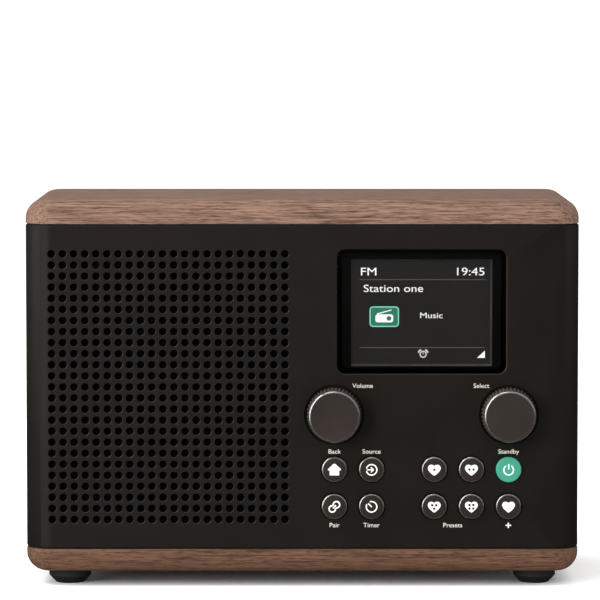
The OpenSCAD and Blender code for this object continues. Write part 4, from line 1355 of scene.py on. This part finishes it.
def tongue(low, at):
    """The flat end of the first tube, round the pin."""
    pin = Vector((low.x + 2.4 * MM, at.y, at.z))
    r, bore, half = 2.4 * MM, 1.1 * MM, 1.9 * MM
    arc = [(pin.x + r * math.cos(a), pin.y + r * math.sin(a))
           for a in (math.radians(90 + 180 * i / 16) for i in range(17))]
    outer = arc + [(pin.x + 8.2 * MM, pin.y - r), (pin.x + 8.2 * MM, pin.y + r)]
    hole = circle_loop(pin.x, pin.y, bore, 24)
    flat, faces = plate(outer, [hole], 0, 2 * half)
    return [([(x, z, pin.z - half + y) for x, y, z in flat], faces)]


# ---- CAD nodes that keep their shape ----

KEPT = {
    "rubber": ("seam_trims", "speaker_gasket"),
    "rear_black": ("rear_cover", "battery_door", "display_bracket", "dc_socket", "audio_sockets",
                   "aerial_base"),
    "screw_steel": ("case_screws",),
    "bright_steel": ("board_screws", "speaker_top_plate", "speaker_yoke", "volume_shaft",
                     "select_shaft", "volume_encoder", "select_encoder", "radio_module", "usb_socket"),
    "coated_steel": ("speaker_frame",),
    "paper": ("speaker_cone", "speaker_dust_cap"),
    "copper": ("voice_coil",),
    "ferrite": ("speaker_magnet",),
    "white_plastic": ("volume_plunger", "select_plunger"),
    "silicone": ("key_mat",),
    "circuit_board": ("control_board", "main_board"),
    "brass": ("board_standoffs",),
    "capacitor": ("capacitors",),
    "battery_wrap": ("battery_pack",),
    "ribbon": ("ribbon_cables",),
    "lead": ("wire_leads",),
    "chrome": ("aerial_pin",),
}
BEVELLED = {"rear_cover": 0.3, "battery_door": 0.25, "aerial_base": 0.25, "dc_socket": 0.2,
            "audio_sockets": 0.2, "usb_socket": 0.08, "radio_module": 0.25, "display_bracket": 0.2,
            "volume_encoder": 0.2, "select_encoder": 0.2}


def finish_cad_nodes():
    """Gives each kept node its material, and its bevel where it has one."""
    looks = {name: look for look, names in KEPT.items() for name in names}
    for name, look in looks.items():
        node = NODES[name]
        node.data.materials.clear()
        node.data.materials.append(MATERIALS[look])
        if name in BEVELLED:
            weld = node.modifiers.new("weld", "WELD")
            weld.merge_threshold = 1e-6
            bevel = node.modifiers.new("bevel", "BEVEL")
            bevel.width = BEVELLED[name] * MM
            bevel.segments = 3
            bevel.limit_method = "ANGLE"
            bevel.angle_limit = math.radians(50)
            bevel.harden_normals = True
            bevel.use_clamp_overlap = True


# ---- Stage ----


def camera():
    made = bpy.data.objects.new("camera", bpy.data.cameras.new("camera"))
    bpy.context.scene.collection.objects.link(made)
    distance, pitch_deg, lens_mm = 1.520, 3.978, 254.16
    height = 78.9 * MM
    made.location = (-0.8 * MM, FRONT_Y - distance, SLEEVE_HIGH.z + height)
    made.rotation_euler = (math.radians(90 - pitch_deg), 0, 0)
    made.data.lens = lens_mm
    made.data.sensor_width = 36
    made.data.clip_end = 50
    bpy.context.scene.camera = made


def area_light(name, place, aim, size, power):
    light = bpy.data.lights.new(name, "AREA")
    light.shape = "RECTANGLE"
    light.size, light.size_y = size
    light.energy = power
    made = bpy.data.objects.new(name, light)
    bpy.context.scene.collection.objects.link(made)
    made.location = place
    made.rotation_euler = (Vector(aim) - Vector(place)).to_track_quat("-Z", "Y").to_euler()


def stage():
    reach = 6.0
    mesh = bpy.data.meshes.new("floor")
    mesh.from_pydata([(-reach, -reach, 0), (reach, -reach, 0), (reach, reach, 0), (-reach, reach, 0)], [],
                     [(0, 1, 2, 3)])
    floor = bpy.data.objects.new("floor", mesh)
    bpy.context.scene.collection.objects.link(floor)
    look = Look("floor_paper", (0.9, 0.9, 0.9), 0.9, Specular_IOR_Level=0.0)
    look.colour(look.ramp(look.noise(3, detail=2), [(0.2, 0.98), (0.8, 0.995)]))
    mesh.materials.append(look.material)
    floor.visible_glossy = False
    floor.visible_transmission = False
    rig.stage(floor)

    world = bpy.data.worlds.new("studio")
    bpy.context.scene.world = world
    world.use_nodes = True
    nodes, links = world.node_tree.nodes, world.node_tree.links
    nodes.clear()
    output = nodes.new("ShaderNodeOutputWorld")
    path = nodes.new("ShaderNodeLightPath")
    seen, soft, mirrored = (nodes.new("ShaderNodeBackground") for _ in range(3))
    seen.inputs["Color"].default_value = (1, 1, 1, 1)
    soft.inputs["Color"].default_value = (1.5, 1.5, 1.5, 1)
    place = nodes.new("ShaderNodeTexCoord")
    split = nodes.new("ShaderNodeSeparateXYZ")
    rise = nodes.new("ShaderNodeMapRange")
    rise.inputs["From Min"].default_value = 0.0
    rise.inputs["From Max"].default_value = 0.7
    rise.inputs["To Min"].default_value = 0.07
    rise.inputs["To Max"].default_value = 0.9
    links.new(place.outputs["Generated"], split.inputs[0])
    links.new(split.outputs["Z"], rise.inputs["Value"])
    links.new(rise.outputs["Result"], mirrored.inputs["Strength"])
    first, second = nodes.new("ShaderNodeMixShader"), nodes.new("ShaderNodeMixShader")
    links.new(path.outputs["Is Diffuse Ray"], first.inputs[0])
    links.new(mirrored.outputs[0], first.inputs[1])
    links.new(soft.outputs[0], first.inputs[2])
    links.new(path.outputs["Is Camera Ray"], second.inputs[0])
    links.new(first.outputs[0], second.inputs[1])
    links.new(seen.outputs[0], second.inputs[2])
    links.new(second.outputs[0], output.inputs["Surface"])

    target = (0, -0.03, 0.08)
    area_light("key_light", (-0.75, -0.25, 0.95), target, (0.35, 0.35), 6)
    area_light("upper_light", (-0.2, -0.25, 1.15), target, (0.5, 0.3), 3)
    area_light("side_light", (-1.15, -0.25, 0.4), target, (0.3, 0.5), 3)
    area_light("left_light", (-0.85, -1.15, 0.3), target, (0.5, 0.9), 12)
    area_light("right_light", (1.3, -0.2, 0.4), target, (0.3, 0.8), 1.0)
    view = bpy.context.scene.view_settings
    view.view_transform = "Standard"
    view.look = "None"


# ---- Assembly ----

camera()
sleeve()
board("top_board", "top_panel", "walnut_top", "wood_top", True)
board("base_board", "base_panel", "walnut_base", "wood_base", False)
for knob_name in KNOBS:
    knob(knob_name)
for button_name in BUTTONS:
    button(button_name)
feet()
front_labels()
display()
cloth()
surround()
spider()
aerial()
finish_cad_nodes()
stage()

SHOWN_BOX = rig.bounds()
with open("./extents.json", "w") as size_file:
    json.dump({"cad": [list(corner) for corner in CAD_BOX], "visual": [list(corner) for corner in SHOWN_BOX]},
              size_file)
